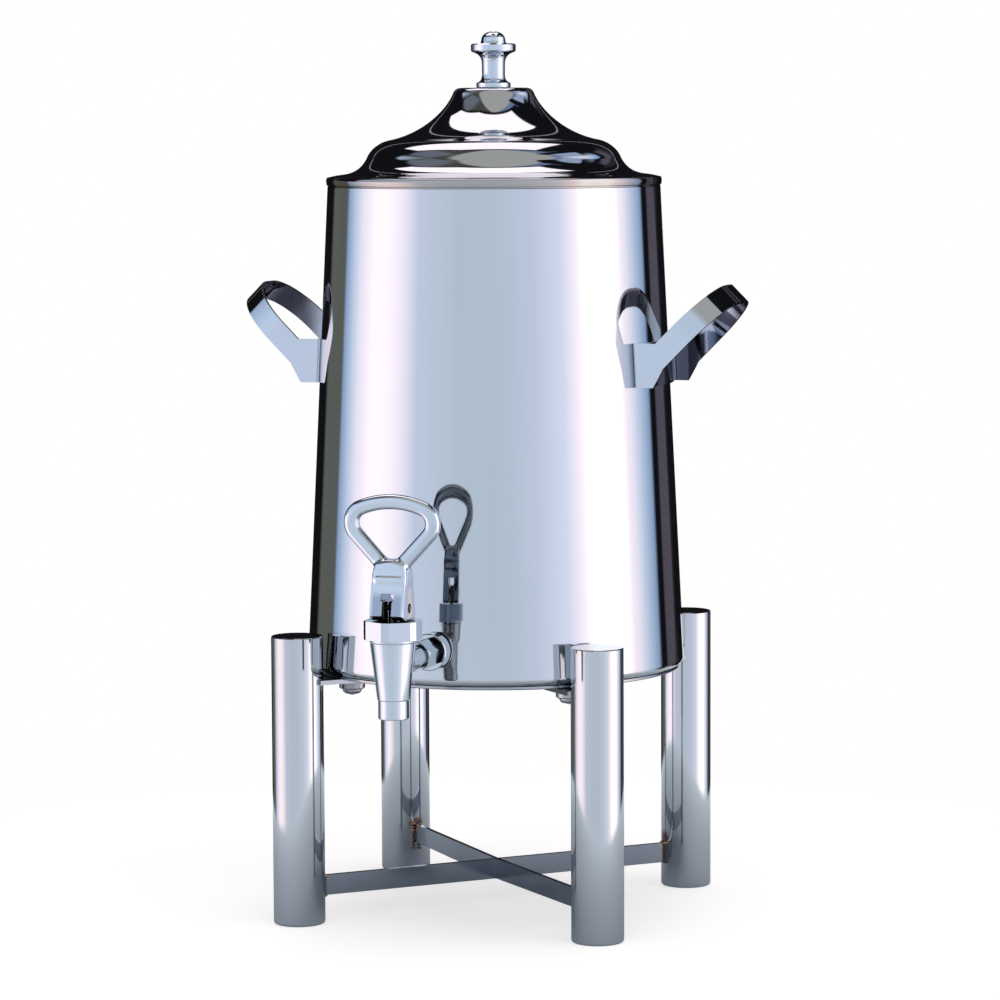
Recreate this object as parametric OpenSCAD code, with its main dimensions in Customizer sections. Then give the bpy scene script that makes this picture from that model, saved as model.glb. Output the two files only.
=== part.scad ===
// Insulated beverage urn on a four-legged tube stand, with a lift-off lid and a lever faucet.
// Millimetres, +Z up, faucet towards -Y. Origin: on the floor, under the centre of the tank.

/* [Body] */
// Height of the body's lower edge above the floor
body_base_z = 168.5; // [120:0.5:260]
// Height of the body from its lower edge to the top of the mouth ring
body_h = 328.5; // [240:0.5:420]
// Outside diameter of the body at its lower edge
body_foot_d = 259.2; // [230:0.1:300]
// Outside diameter of the body at the mouth
body_mouth_d = 227; // [200:0.1:240]
// Sheet thickness of the outer shell
shell_t = 1; // [0.8:0.1:1.6]
// Outside radius of the rolled corner at the foot of the shell
foot_corner_r = 5; // [3:0.5:8]
// Width of the flange turned in under the shell
foot_flange_w = 8; // [5:0.5:12]
// Sheet thickness of the base plate
base_plate_t = 2; // [1.5:0.1:3]
// How far the base plate's edge stays inside the shell's foot
base_plate_inset = 3.2; // [2:0.1:6]

/* [Tank] */
// Distance between the outside of the tank and the outside of the shell
jacket_w = 14.5; // [10:0.5:20]
// Sheet thickness of the tank
liner_t = 1; // [0.8:0.1:1.6]
// Height of the tank's floor above the base plate
liner_floor_h = 5.5; // [4.5:0.5:12]
// Inside radius of the corner between the tank's floor and wall
liner_corner_r = 4; // [3:0.5:6]
// Thickness of the mouth ring's flat top
mouth_ring_t = 1.5; // [1.2:0.1:2.5]
// Depth of the mouth ring's spigot between tank and shell
mouth_spigot_h = 6; // [4:0.5:10]

/* [Side handles] */
// Height of the handles' foot above the body's lower edge
handle_z = 194; // [120:1:260]
// Height of the handle band where it lies against the body
handle_foot_h = 29.5; // [24:0.5:36]
// Width over the two arms of a handle
handle_w = 88; // [70:1:104]
// Thickness of the handle band
handle_t = 2.5; // [2:0.1:4]
// Width of the handle band around the grip
handle_band_w = 15.5; // [12:0.5:18]
// Angle at which the grip rises
handle_rise = 45; // [35:1:55]
// Length of the straight arms along the rise
handle_arm_len = 23.5; // [15:0.5:55]
// Radius of the two corners at the end of the grip, over the band
handle_corner_r = 38; // [15:1:42]
// Distance from the body to the lower bend of each arm
handle_foot_reach = 14; // [10:0.5:20]

/* [Stand] */
// Outside diameter of the leg tubes
leg_d = 35; // [25:0.5:42]
// Wall thickness of the leg tubes
leg_wall = 1.5; // [1.2:0.1:3]
// Height of the legs' tops above the body's lower edge
leg_rise = 27.3; // [15:0.1:60]
// Gap between the foot of the body and each leg
leg_gap = 2.3; // [1:0.1:8]
// Thickness of the leg caps
leg_cap_t = 2.5; // [2:0.1:4]
// Thickness of the leg glides
leg_glide_t = 4; // [3:0.5:8]
// Edge radius of the leg glides
leg_glide_r = 2; // [1:0.5:3]
// Thickness of the ears
ear_t = 3; // [2.5:0.1:5]
// Width of the ears
ear_w = 34; // [28:1:40]
// Distance from the foot of the body in to the stand's studs
stud_inset = 20.6; // [18:0.1:30]
// Diameter of the stand's studs
stud_d = 8; // [6:1:10]

/* [Cross brace] */
// Height of the brace bars' lower edge above the floor
brace_z = 17.5; // [10:0.5:80]
// Height of the brace bars
brace_h = 13.8; // [10:0.1:20]
// Thickness of the brace bars
brace_t = 3.2; // [2.5:0.1:6]
// How much higher the back bar meets its leg than the centre
brace_rise = 5.5; // [0:0.5:20]

/* [Faucet] */
// Height of the shank's axis above the body's lower edge
shank_h = 24.2; // [20:0.1:30]
// Distance from the urn's axis to the valve's axis
valve_reach = 206; // [190:0.5:225]
// Diameter of the shank's thread
shank_d = 13.2; // [12:0.1:16]
// Diameter of the passage through shank and faucet
shank_bore_d = 8.4; // [6:0.1:10]
// Diameter of the flange on the shank
shank_flange_d = 24.6; // [22:0.1:33]
// Length of the flange along the shank
shank_flange_t = 9; // [4:0.5:12]
// Distance across the coupling nut's flats
coupling_flats = 17.8; // [17:0.1:22]
// Length of the coupling nut
coupling_len = 17; // [14:0.5:22]
// Diameter of the faucet body below the bonnet
faucet_top_d = 30.6; // [28:0.1:34]
// Diameter of the outlet
outlet_d = 19.8; // [18:0.1:22]
// Diameter of the outlet's bore
outlet_bore_d = 15.6; // [12:0.1:16]
// Distance from the shank's axis down to the outlet's end
outlet_drop = 34.4; // [30:0.1:60]
// Length of the straight outlet below the taper
outlet_len = 12.7; // [8:0.1:20]
// Distance from the shank's axis up to the bonnet's seat
bonnet_seat_rise = 17.2; // [16:0.1:22]
// Distance across the bonnet's flats
bonnet_flats = 35; // [33:0.1:38]
// Height of the bonnet
bonnet_h = 12.2; // [11:0.1:16]
// Diameter of the valve stem
stem_d = 5.5; // [5:0.1:6]
// Diameter of the hole in the valve seat
seat_hole_d = 11; // [8:0.5:12]

/* [Faucet handle] */
// Height of the pin above the bonnet
pin_rise = 7.5; // [6.5:0.1:9]
// Diameter of the pin
pin_d = 3.2; // [2.5:0.1:3.4]
// How far the cam lifts the stem for each radian of tilt
cam_lift = 6; // [4:0.1:7]
// Largest tilt of the handle
tilt_max = 45; // [30:1:50]
// Width of the handle's yoke
yoke_w = 23; // [20:0.5:26]
// Depth of the yoke under its collar
yoke_top_depth = 17.2; // [15:0.1:20]
// Depth of the yoke at the bonnet
yoke_foot_depth = 26.6; // [25:0.1:29]
// Width over the loop
loop_w = 65.4; // [50:0.1:70]
// Height of the loop's top above the pin
loop_top = 73.2; // [60:0.1:85]
// Width of the loop's bar
loop_bar_w = 9.8; // [8:0.1:11]
// Depth of the loop's bar
loop_bar_depth = 8; // [6:0.1:10]

/* [Lid and knob] */
// Sheet thickness of the lid
lid_t = 1; // [0.8:0.1:1.6]
// Height of the lid's flat top above the mouth
lid_h = 65.5; // [50:0.5:80]
// Radius of the lid's flat top
lid_top_r = 24; // [20:0.5:30]
// Height of the brim's upright edge
brim_h = 4.4; // [3.8:0.1:10]
// Depth of the lid pan's plug in the tank
plug_h = 12; // [8:1:20]
// Height of the knob
knob_h = 38.2; // [34:0.1:45]
// Diameter of the knob's disc
knob_d = 30.6; // [26:0.1:36]
// Diameter of the knob's neck
knob_neck_d = 15.6; // [13:0.1:20]

/* [Fits] */
// Clearance between parts that move past each other
move_gap = 0.3; // [0.2:0.05:0.5]
// Radial running clearance of the stem and the pin
running_gap = 0.05; // [0.02:0.01:0.1]
// Gap between sheet parts that are welded or seamed together
seam_gap = 0.05; // [0.02:0.01:0.1]
// Clearance around the insulation and in threads
loose_gap = 0.2; // [0.1:0.05:0.4]

/* [Hidden] */
$fn = 72;

// Colours
polished_steel = [0.80, 0.82, 0.86];
brushed_steel = [0.68, 0.69, 0.71];
bright_chrome = [0.78, 0.83, 0.90];
dark_steel = [0.30, 0.30, 0.32];
brass = [0.80, 0.66, 0.38];
silicone = [0.88, 0.88, 0.84];
black_rubber = [0.10, 0.10, 0.10];
foam = [0.93, 0.88, 0.66];

// Body profile: the wall is a straight cone from foot to mouth
rim_z = body_base_z + body_h;
foot_r = body_foot_d / 2;
mouth_r = body_mouth_d / 2;
wall_slope = (foot_r - mouth_r) / body_h;
wall_tilt = atan(wall_slope);
function wall_r(z) = foot_r - (z - body_base_z) * wall_slope;
shell_top_z = rim_z - mouth_ring_t;
base_plate_r = foot_r - base_plate_inset;
base_plate_z = body_base_z - base_plate_t;
liner_floor_z = body_base_z + liner_floor_h;
function liner_r(z) = wall_r(z) - jacket_w;

// Points of an arc, from angle a0 to a1, in n steps
function arc(cx, cz, r, a0, a1, n) = [for (i = [0:n]) [cx + r * cos(a0 + (a1 - a0) * i / n),
                                                     cz + r * sin(a0 + (a1 - a0) * i / n)]];
// Points of a cubic curve, leaving out its first point
function bezier(p, n) = [for (i = [1:n]) let (t = i / n, s = 1 - t)
    s * s * s * p[0] + 3 * s * s * t * p[1] + 3 * s * t * t * p[2] + t * t * t * p[3]];

// Solid cone that follows the body wall at a distance outside it
module wall_cone(offset_r, z0, z1) {
    translate([0, 0, z0]) cylinder(r1 = wall_r(z0) + offset_r, r2 = wall_r(z1) + offset_r, h = z1 - z0, $fn = 180);
}

// ---------- Body ----------

shank_z = body_base_z + shank_h;
shank_hole_r = shank_d / 2 + loose_gap;

// Placement for everything on the shank's axis: +Z points away from the urn
module on_shank_axis(reach) {
    translate([0, -reach, shank_z]) rotate([90, 0, 0]) children();
}

module shell_profile(r_off) {
    corner = foot_corner_r - r_off;
    cz = body_base_z + foot_corner_r;
    cx = wall_r(cz) - foot_corner_r / cos(wall_tilt);
    polygon(concat(
        [[cx - foot_flange_w, cz - corner]],
        arc(cx, cz, corner, -90, wall_tilt, 10),
        [[wall_r(shell_top_z) - r_off / cos(wall_tilt), shell_top_z], [0, shell_top_z], [0, cz - corner]]));
}

module outer_shell() {
    color(polished_steel)
    difference() {
        rotate_extrude($fn = 180) difference() {
            shell_profile(0);
            shell_profile(shell_t);
            translate([0, body_base_z - 1]) square([wall_r(body_base_z) - foot_corner_r - foot_flange_w, shell_t + 2]);
        }
        on_shank_axis(wall_r(shank_z) - jacket_w) cylinder(r = shank_hole_r, h = jacket_w * 2);
    }
}

module base_plate() {
    color(brushed_steel)
    difference() {
        translate([0, 0, base_plate_z]) {
            cylinder(r1 = base_plate_r - 0.6, r2 = base_plate_r, h = 0.6, $fn = 180);
            translate([0, 0, 0.6]) cylinder(r = base_plate_r, h = base_plate_t - 0.6, $fn = 180);
        }
        at_studs() translate([0, 0, base_plate_z - 1]) cylinder(d = stud_d + 2 * seam_gap, h = base_plate_t + 2, $fn = 32);
    }
}

module inner_liner() {
    top_z = shell_top_z;
    cz = liner_floor_z + liner_corner_r;
    cx = liner_r(cz) - liner_t - liner_corner_r;
    color(brushed_steel)
    difference() {
        rotate_extrude($fn = 180) polygon(concat(
            [[0, liner_floor_z - liner_t]],
            arc(cx, cz, liner_corner_r + liner_t, -90, wall_tilt, 8),
            [[liner_r(top_z), top_z], [liner_r(top_z) - liner_t, top_z]],
            arc(cx, cz, liner_corner_r, wall_tilt, -90, 8),
            [[0, liner_floor_z]]));
        on_shank_axis(0) cylinder(r = shank_hole_r, h = wall_r(shank_z) - jacket_w / 2);
    }
}

// Foam that fills the space between tank and shell
module insulation_jacket() {
    z0 = liner_floor_z + liner_corner_r;
    z1 = shell_top_z - mouth_spigot_h - move_gap;
    color(foam)
    difference() {
        wall_cone(-shell_t - move_gap, z0, z1);
        translate([0, 0, -1]) wall_cone(-jacket_w + move_gap, z0, z1 + 2);
        on_shank_axis(liner_r(shank_z) - 10) cylinder(r = shank_spacer_r + loose_gap, h = jacket_w + 20);
    }
}

module insulation_pad() {
    color(foam) translate([0, 0, body_base_z + stud_head_t + loose_gap])
        cylinder(r = liner_r(liner_floor_z) - liner_corner_r - 2, h = liner_floor_h - liner_t - stud_head_t - 2 * loose_gap, $fn = 120);
}

// Flat ring with a spigot between the two walls; it closes the jacket and carries the lid
module mouth_ring() {
    spigot_z = shell_top_z - mouth_spigot_h;
    in_r = liner_r(shell_top_z) - liner_t;
    out_r = wall_r(rim_z);
    color(polished_steel)
    rotate_extrude($fn = 180) polygon(concat(
        [[in_r, shell_top_z], [liner_r(shell_top_z) + loose_gap, shell_top_z]],
        [[liner_r(spigot_z) + loose_gap, spigot_z], [wall_r(spigot_z) - shell_t - loose_gap, spigot_z]],
        [[wall_r(shell_top_z) - shell_t - loose_gap, shell_top_z], [out_r - mouth_ring_t, shell_top_z]],
        arc(out_r - mouth_ring_t / 2, rim_z - mouth_ring_t / 2, mouth_ring_t / 2, -90, 90, 6),
        arc(in_r + mouth_ring_t / 2, rim_z - mouth_ring_t / 2, mouth_ring_t / 2, 90, 180, 4)));
}

// ---------- Side handles ----------

handle_foot_z = body_base_z + handle_z;
handle_mid_z = handle_foot_z + handle_foot_h / 2;
arm_y = handle_w / 2 - handle_t;
// The body's surface under the arms, at the level of the handle's foot
arm_root_x = sqrt(pow(wall_r(handle_foot_z), 2) - pow(handle_w / 2, 2));
lower_bend = [arm_root_x + handle_foot_reach + 7, handle_foot_z + 13];

// Outline of one arm seen from the side: a tall foot that narrows into the sloping band
module arm_outline() {
    along = [cos(handle_rise), sin(handle_rise)];
    across = [-sin(handle_rise), cos(handle_rise)];
    lower_end = lower_bend + handle_arm_len * along;
    upper_end = lower_end + handle_band_w * across;
    top_z = handle_foot_z + handle_foot_h;
    upper_bend_x = upper_end[0] - (upper_end[1] - top_z) / tan(handle_rise);
    polygon([
        [arm_root_x - 8, handle_foot_z],
        [arm_root_x + handle_foot_reach, handle_foot_z],
        [lower_bend[0] - 2.6, lower_bend[1] - 5],
        lower_bend,
        lower_end,
        upper_end,
        [upper_bend_x, top_z],
        [arm_root_x - 8, top_z]
    ]);
}

module handle_band() {
    along = [cos(handle_rise), sin(handle_rise)];
    across = [-sin(handle_rise), cos(handle_rise)];
    grip_centre = lower_bend + handle_arm_len * along + handle_band_w / 2 * across;
    // Arms, cut back to clear the body by the radius of the bend
    difference() {
        for (side = [-1, 1]) translate([0, side * (arm_y + handle_t / 2) + handle_t / 2, 0])
            rotate([90, 0, 0]) linear_extrude(handle_t) arm_outline();
        wall_cone(handle_t, handle_foot_z - 20, handle_foot_z + 60);
    }
    // Grip end in the sloping plane: two round corners and the bar between them
    translate([grip_centre[0], 0, grip_centre[1]]) rotate([0, -handle_rise, 0]) {
        for (side = [-1, 1]) translate([0, side * (handle_w / 2 - handle_corner_r), 0])
            rotate([0, 0, side > 0 ? 0 : -90]) rotate_extrude(angle = 90, $fn = 96)
                translate([handle_corner_r - handle_t, -handle_band_w / 2]) square([handle_t, handle_band_w]);
        translate([handle_corner_r - handle_t, handle_corner_r - handle_w / 2 - 0.1, -handle_band_w / 2])
            cube([handle_t, handle_w - 2 * handle_corner_r + 0.2, handle_band_w]);
        // Core across each joint, so that arm and grip are one solid
        for (side = [-1, 1]) translate([0, side * (handle_w / 2 - handle_t / 2), 0])
            cube([2, handle_t - 0.6, handle_band_w - 2], center = true);
    }
    // Back strap along the body
    intersection() {
        difference() {
            wall_cone(handle_t, handle_foot_z - 5, handle_foot_z + handle_foot_h + 5);
            wall_cone(seam_gap, handle_foot_z - 6, handle_foot_z + handle_foot_h + 6);
        }
        translate([0, -arm_y, handle_foot_z]) cube([foot_r * 2, 2 * arm_y, handle_foot_h]);
    }
    // Bends between arms and strap
    corner_r = wall_r(handle_mid_z) + handle_t;
    corner_x = sqrt(pow(corner_r, 2) - pow(arm_y, 2));
    intersection() {
        for (side = [-1, 1]) translate([corner_x, side * arm_y, handle_mid_z]) rotate([0, -wall_tilt, 0])
            cylinder(r = handle_t, h = handle_foot_h + 6, center = true, $fn = 32);
        translate([0, -handle_w, handle_foot_z]) cube([foot_r * 2, 2 * handle_w, handle_foot_h]);
        difference() {
            cylinder(r = foot_r * 2, h = rim_z);
            wall_cone(seam_gap, handle_foot_z - 6, handle_foot_z + handle_foot_h + 6);
        }
    }
}

module right_handle() { color(bright_chrome) handle_band(); }
module left_handle() { color(bright_chrome) mirror([1, 0, 0]) handle_band(); }

// ---------- Stand ----------

leg_r = leg_d / 2;
leg_circle_r = foot_r + leg_gap + leg_r;
leg_x = leg_circle_r / sqrt(2);
FRONT_LEFT = [-1, -1];
FRONT_RIGHT = [1, -1];
BACK_LEFT = [-1, 1];
BACK_RIGHT = [1, 1];
CORNERS = [FRONT_LEFT, FRONT_RIGHT, BACK_LEFT, BACK_RIGHT];
leg_h = body_base_z + leg_rise;
stud_circle_r = foot_r - stud_inset;
ear_z = base_plate_z - ear_t;
stud_head_t = 2.2;
washer_t = 2;
washer_r = stud_d / 2 + 6.4;
nut_r = stud_d / 2 + 4.8;
nut_crown_r = stud_d / 2 + 2.4;
nut_h = 8;

// Angle of a corner's diagonal, measured from +X
function diagonal(corner) = atan2(corner[1], corner[0]);

module at_studs() {
    for (corner = CORNERS) rotate([0, 0, diagonal(corner)]) translate([stud_circle_r, 0, 0]) children();
}

module leg_tube(corner) {
    color(polished_steel) translate([corner[0] * leg_x, corner[1] * leg_x, leg_glide_t])
    difference() {
        cylinder(r = leg_r, h = leg_h - leg_glide_t - leg_cap_t);
        translate([0, 0, -1]) cylinder(r = leg_r - leg_wall, h = leg_h);
    }
}

// Flat disc with a spigot in the tube
module leg_cap(corner) {
    color(polished_steel) translate([corner[0] * leg_x, corner[1] * leg_x, leg_h - leg_cap_t])
    rotate_extrude() polygon([
        [0, -6], [leg_r - leg_wall - seam_gap, -6], [leg_r - leg_wall - seam_gap, 0], [leg_r, 0],
        [leg_r, leg_cap_t - 0.6], [leg_r - 0.6, leg_cap_t], [0, leg_cap_t]]);
}

// Closed foot with a rounded edge and a spigot in the tube
module leg_glide(corner) {
    color(polished_steel) translate([corner[0] * leg_x, corner[1] * leg_x, 0])
    rotate_extrude() polygon(concat(
        [[0, 0]],
        arc(leg_r - leg_glide_r, leg_glide_r, leg_glide_r, -90, 0, 6),
        [[leg_r, leg_glide_t], [leg_r - leg_wall - seam_gap, leg_glide_t],
         [leg_r - leg_wall - seam_gap, leg_glide_t + 8], [0, leg_glide_t + 8]]));
}

// Plate with a round inner end, saddled to the leg tube
module ear(corner) {
    color(brushed_steel) rotate([0, 0, diagonal(corner)])
    difference() {
        translate([0, 0, ear_z]) {
            translate([stud_circle_r, -ear_w / 2, 0]) cube([leg_circle_r - leg_r * 0.55 - stud_circle_r, ear_w, ear_t - seam_gap]);
            translate([stud_circle_r, 0, 0]) cylinder(d = ear_w, h = ear_t - seam_gap);
        }
        translate([leg_circle_r, 0, 0]) cylinder(r = leg_r + seam_gap, h = leg_h);
        translate([stud_circle_r, 0, 0]) cylinder(d = stud_d + 1, h = leg_h, $fn = 32);
    }
}

module stand_studs() {
    color(dark_steel) at_studs() translate([0, 0, ear_z - washer_t - nut_h + 1.5]) {
        cylinder(d = stud_d, h = base_plate_t + ear_t + washer_t + nut_h - 1.5, $fn = 32);
        translate([0, 0, base_plate_t + ear_t + washer_t + nut_h - 1.5 + seam_gap])
            cylinder(d = stud_d + 6, h = stud_head_t - seam_gap, $fn = 48);
        cylinder(d = stud_d - 1, h = base_plate_t + ear_t + washer_t + nut_h, $fn = 32);
    }
}

module stand_washers() {
    color(brushed_steel) at_studs() translate([0, 0, ear_z - washer_t])
    difference() {
        cylinder(r = washer_r, h = washer_t - seam_gap, $fn = 48);
        translate([0, 0, -1]) cylinder(d = stud_d + 0.6, h = washer_t + 2, $fn = 32);
    }
}

// Cap nuts with a broad flange and a domed crown, closed below
module stand_cap_nuts() {
    top = ear_z - washer_t - seam_gap;
    color(brushed_steel) at_studs() translate([0, 0, top])
    rotate_extrude($fn = 48) polygon(concat(
        [[stud_d / 2 + seam_gap, 0], [nut_r, 0], [nut_r, -nut_h * 0.4], [nut_r - 0.8, -nut_h * 0.5],
         [nut_crown_r, -nut_h * 0.5]],
        arc(nut_crown_r - 2.4, -nut_h * 0.62, 2.4, 0, -90, 5),
        [[0, -nut_h - 0.6], [0, -nut_h + 1], [stud_d / 2 + seam_gap, -nut_h + 1]]));
}

// Cylinders that saddle a bar's ends to the legs
module leg_saddles() {
    for (end = [-1, 1]) translate([end * leg_circle_r, 0, -1]) cylinder(r = leg_r + seam_gap, h = leg_h);
}

// One bar runs through; the other two are welded to its sides
module brace_bar_long() {
    color(brushed_steel) rotate([0, 0, 45])
    difference() {
        translate([-leg_circle_r, -brace_t / 2, brace_z]) cube([2 * leg_circle_r, brace_t, brace_h]);
        leg_saddles();
    }
}

module brace_bar_short(turn, rise) {
    start = brace_t / 2 + seam_gap;
    color(brushed_steel) rotate([0, 0, turn])
    difference() {
        translate([0, brace_t / 2, 0]) rotate([90, 0, 0]) linear_extrude(brace_t) polygon([
            [start, brace_z], [leg_circle_r, brace_z + rise], [leg_circle_r, brace_z + rise + brace_h - 1],
            [start, brace_z + brace_h]]);
        leg_saddles();
    }
}

module brace_bar_front() { brace_bar_short(-45, 0); }
module brace_bar_back() { brace_bar_short(135, brace_rise); }

// ---------- Shank ----------

shank_r = shank_d / 2;
shank_bore_r = shank_bore_d / 2;
shank_spacer_r = shank_r + 2.6;
shank_wall_reach = wall_r(shank_z);
gasket_t = 2;
lock_nut_t = 7;
lock_nut_r = shank_r + 4;
// Reach of the flange's inner face and of the lock nut's outer face
flange_reach = shank_wall_reach + gasket_t;
lock_nut_reach = shank_wall_reach - jacket_w - liner_t - gasket_t;
coupling_reach = flange_reach + shank_flange_t + 6;
coupling_lip_t = 2;
tail_lip_t = 2;
tail_reach = coupling_reach + coupling_len - coupling_lip_t - tail_lip_t - seam_gap;
shank_end_reach = tail_reach - seam_gap;

module shank() {
    start = lock_nut_reach - lock_nut_t - 2;
    color(brushed_steel) on_shank_axis(0)
    difference() {
        union() {
            translate([0, 0, start]) cylinder(r = shank_r, h = shank_end_reach - start);
            translate([0, 0, flange_reach]) cylinder(d = shank_flange_d, h = shank_flange_t - 0.6);
            translate([0, 0, flange_reach + shank_flange_t - 0.6])
                cylinder(d1 = shank_flange_d, d2 = shank_flange_d - 1.2, h = 0.6);
        }
        translate([0, 0, start - 1]) cylinder(r = shank_bore_r, h = shank_end_reach);
    }
}

module shank_ring(reach, thick, out_r) {
    on_shank_axis(reach) difference() {
        cylinder(r = out_r, h = thick);
        translate([0, 0, -1]) cylinder(r = shank_hole_r, h = thick + 2);
    }
}

// Holds the two walls apart where the shank is clamped
module shank_spacer() {
    color(brass) intersection() {
        shank_ring(liner_r(shank_z) - 5, jacket_w + 10, shank_spacer_r);
        difference() {
            wall_cone(-shell_t - seam_gap, shank_z - 30, shank_z + 30);
            wall_cone(-jacket_w + seam_gap, shank_z - 31, shank_z + 31);
        }
    }
}

module shank_outer_gasket() {
    color(black_rubber) difference() {
        shank_ring(shank_wall_reach - 5, gasket_t + 5 - seam_gap, shank_flange_d / 2 - 1);
        wall_cone(seam_gap, shank_z - 30, shank_z + 30);
    }
}

module shank_inner_gasket() {
    color(black_rubber) intersection() {
        shank_ring(lock_nut_reach + seam_gap, gasket_t + 4, lock_nut_r - 0.8);
        wall_cone(-jacket_w - liner_t - seam_gap, shank_z - 30, shank_z + 30);
    }
}

module shank_lock_nut() {
    color(brass) on_shank_axis(lock_nut_reach - lock_nut_t) difference() {
        cylinder(r = lock_nut_r, h = lock_nut_t, $fn = 6);
        translate([0, 0, -1]) cylinder(r = shank_r + seam_gap, h = lock_nut_t + 2);
    }
}

// Hexagonal nut with chamfered corners
module chamfered_hex(flats, h, chamfer) {
    point_r = flats / 2 / cos(30);
    intersection() {
        cylinder(r = point_r, h = h, $fn = 6);
        rotate_extrude() polygon([
            [0, 0], [point_r - chamfer, 0], [point_r + 0.2, chamfer], [point_r + 0.2, h - chamfer],
            [point_r - chamfer, h], [0, h]]);
    }
}

// Nut that draws the faucet's tail onto the shank
tail_lip_r = coupling_flats / 2 - 1.3;
tail_r = coupling_flats / 2 - 2.2;
module coupling_nut() {
    color(bright_chrome) on_shank_axis(coupling_reach) difference() {
        rotate([0, 0, 17]) chamfered_hex(coupling_flats, coupling_len, 1.2);
        translate([0, 0, -1]) cylinder(r = shank_r + seam_gap, h = coupling_len);
        translate([0, 0, shank_end_reach - coupling_reach])
            cylinder(r = tail_lip_r + seam_gap, h = tail_lip_t + 3 * seam_gap);
        translate([0, 0, shank_end_reach - coupling_reach]) cylinder(r = tail_r + seam_gap, h = coupling_len);
    }
}

// ---------- Faucet ----------

outlet_z = shank_z - outlet_drop;
bonnet_z = shank_z + bonnet_seat_rise;
bonnet_top_z = bonnet_z + bonnet_h;
bonnet_roof_t = 4;
chamber_r = 10;
seat_z = shank_z - shank_bore_r - 0.7;
seat_t = 6;
body_neck_r = faucet_top_d / 2 - 1.8;
neck_top_z = bonnet_top_z - bonnet_roof_t - loose_gap;
outlet_r = outlet_d / 2;
stem_r = stem_d / 2;

module at_valve() { translate([0, -valve_reach, 0]) children(); }

module faucet_body() {
    taper_z = outlet_z + outlet_len;
    color(bright_chrome) difference() {
        union() {
            at_valve() rotate_extrude() polygon(concat(
                [[0, outlet_z + 1]], [[outlet_r - 1.2, outlet_z]], [[outlet_r - 0.4, outlet_z]],
                [[outlet_r, outlet_z + 0.6], [outlet_r, taper_z - 0.6], [outlet_r + 0.5, taper_z]],
                [[faucet_top_d / 2 - 0.4, bonnet_z - 2.2], [faucet_top_d / 2, bonnet_z - 1.4]],
                [[faucet_top_d / 2, bonnet_z - seam_gap], [body_neck_r, bonnet_z - seam_gap],
                 [body_neck_r, neck_top_z], [0, neck_top_z]]));
            on_shank_axis(tail_reach) {
                cylinder(r = tail_r, h = valve_reach - tail_reach);
                cylinder(r = tail_lip_r, h = tail_lip_t);
                translate([0, 0, tail_lip_t + coupling_lip_t + 0.8]) cylinder(r = tail_r + 1, h = 30);
            }
            // Shoulder where the tail flares into the body
            on_shank_axis(valve_reach - faucet_top_d / 2 - 4) cylinder(r1 = tail_r + 1, r2 = tail_r + 3.4, h = 8);
        }
        at_valve() {
            translate([0, 0, seat_z]) cylinder(r = chamber_r, h = neck_top_z);
            translate([0, 0, outlet_z - 1]) cylinder(d = outlet_bore_d, h = seat_z - seat_t - outlet_z + 1);
            translate([0, 0, outlet_z]) cylinder(d = seat_hole_d, h = seat_z);
        }
        on_shank_axis(tail_reach - 1) cylinder(r = shank_bore_r, h = valve_reach - tail_reach);
    }
}

// Hexagonal cover that closes the valve chamber and guides the stem
module bonnet() {
    color(bright_chrome) at_valve() difference() {
        translate([0, 0, bonnet_z]) rotate([0, 0, 30]) chamfered_hex(bonnet_flats, bonnet_h, 1.6);
        translate([0, 0, bonnet_z - 1]) cylinder(r = body_neck_r + seam_gap, h = bonnet_h - bonnet_roof_t + 1);
        cylinder(r = stem_r + running_gap, h = bonnet_top_z + 1);
    }
}

pin_z = bonnet_top_z + move_gap + pin_rise;
collar_z = seat_z + 9.5;
collar_t = 2;
button_r = 4.6;
button_t = 2;
button_z = seat_z + move_gap + 3;
stem_top_z = pin_z + 4.4;

// Rod with a button at its lower end and the pin's eye at its top
module valve_stem() {
    color(brass) at_valve() difference() {
        union() {
            translate([0, 0, button_z]) cylinder(r = button_r, h = button_t);
            translate([0, 0, button_z]) cylinder(r = stem_r, h = stem_top_z - 1 - button_z);
            translate([0, 0, stem_top_z - 1]) cylinder(r1 = stem_r, r2 = stem_r - 1, h = 1);
        }
        translate([-10, 0, pin_z]) rotate([0, 90, 0]) cylinder(d = pin_d + 2 * running_gap, h = 20);
    }
}

// Washer that carries the spring, held on the stem
module stem_collar() {
    color(brass) at_valve() translate([0, 0, collar_z]) difference() {
        cylinder(r = 7.6, h = collar_t);
        translate([0, 0, -1]) cylinder(r = stem_r + seam_gap, h = collar_t + 2);
    }
}

// Rubber cup that closes the valve seat, buttoned on the stem
module seat_cup() {
    cup_r = chamber_r - 1.5;
    color(silicone) at_valve() rotate_extrude() polygon([
        [0, seat_z + move_gap], [cup_r - 1.2, seat_z + move_gap], [cup_r, seat_z + move_gap + 1.4],
        [cup_r - 1.6, collar_z - 1.2], [cup_r - 2.6, collar_z - seam_gap],
        [stem_r + seam_gap, collar_z - seam_gap], [stem_r + seam_gap, button_z + button_t + seam_gap],
        [button_r + seam_gap, button_z + button_t + seam_gap], [button_r + seam_gap, button_z - seam_gap],
        [0, button_z - seam_gap]]);
}

// Coil spring between the collar and the bonnet's roof, with closed ends
spring_wire_r = 0.7;
spring_r = 5.6;
spring_turns = 6.5;
spring_z0 = collar_z + collar_t + spring_wire_r + seam_gap;
spring_z1 = bonnet_top_z - bonnet_roof_t - spring_wire_r - seam_gap;
spring_steps = 16;
spring_sides = 6;
// Height of the coil after a share u of its turns; the end turns lie flat
function spring_rise(u) = let (flat = 0.75 / spring_turns, s = min(1, max(0, (u - flat) / (1 - 2 * flat))))
    spring_z0 + 0.3 * min(u, flat) / flat + (spring_z1 - spring_z0 - 0.6) * s + 0.3 * max(0, u - 1 + flat) / flat;

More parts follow.
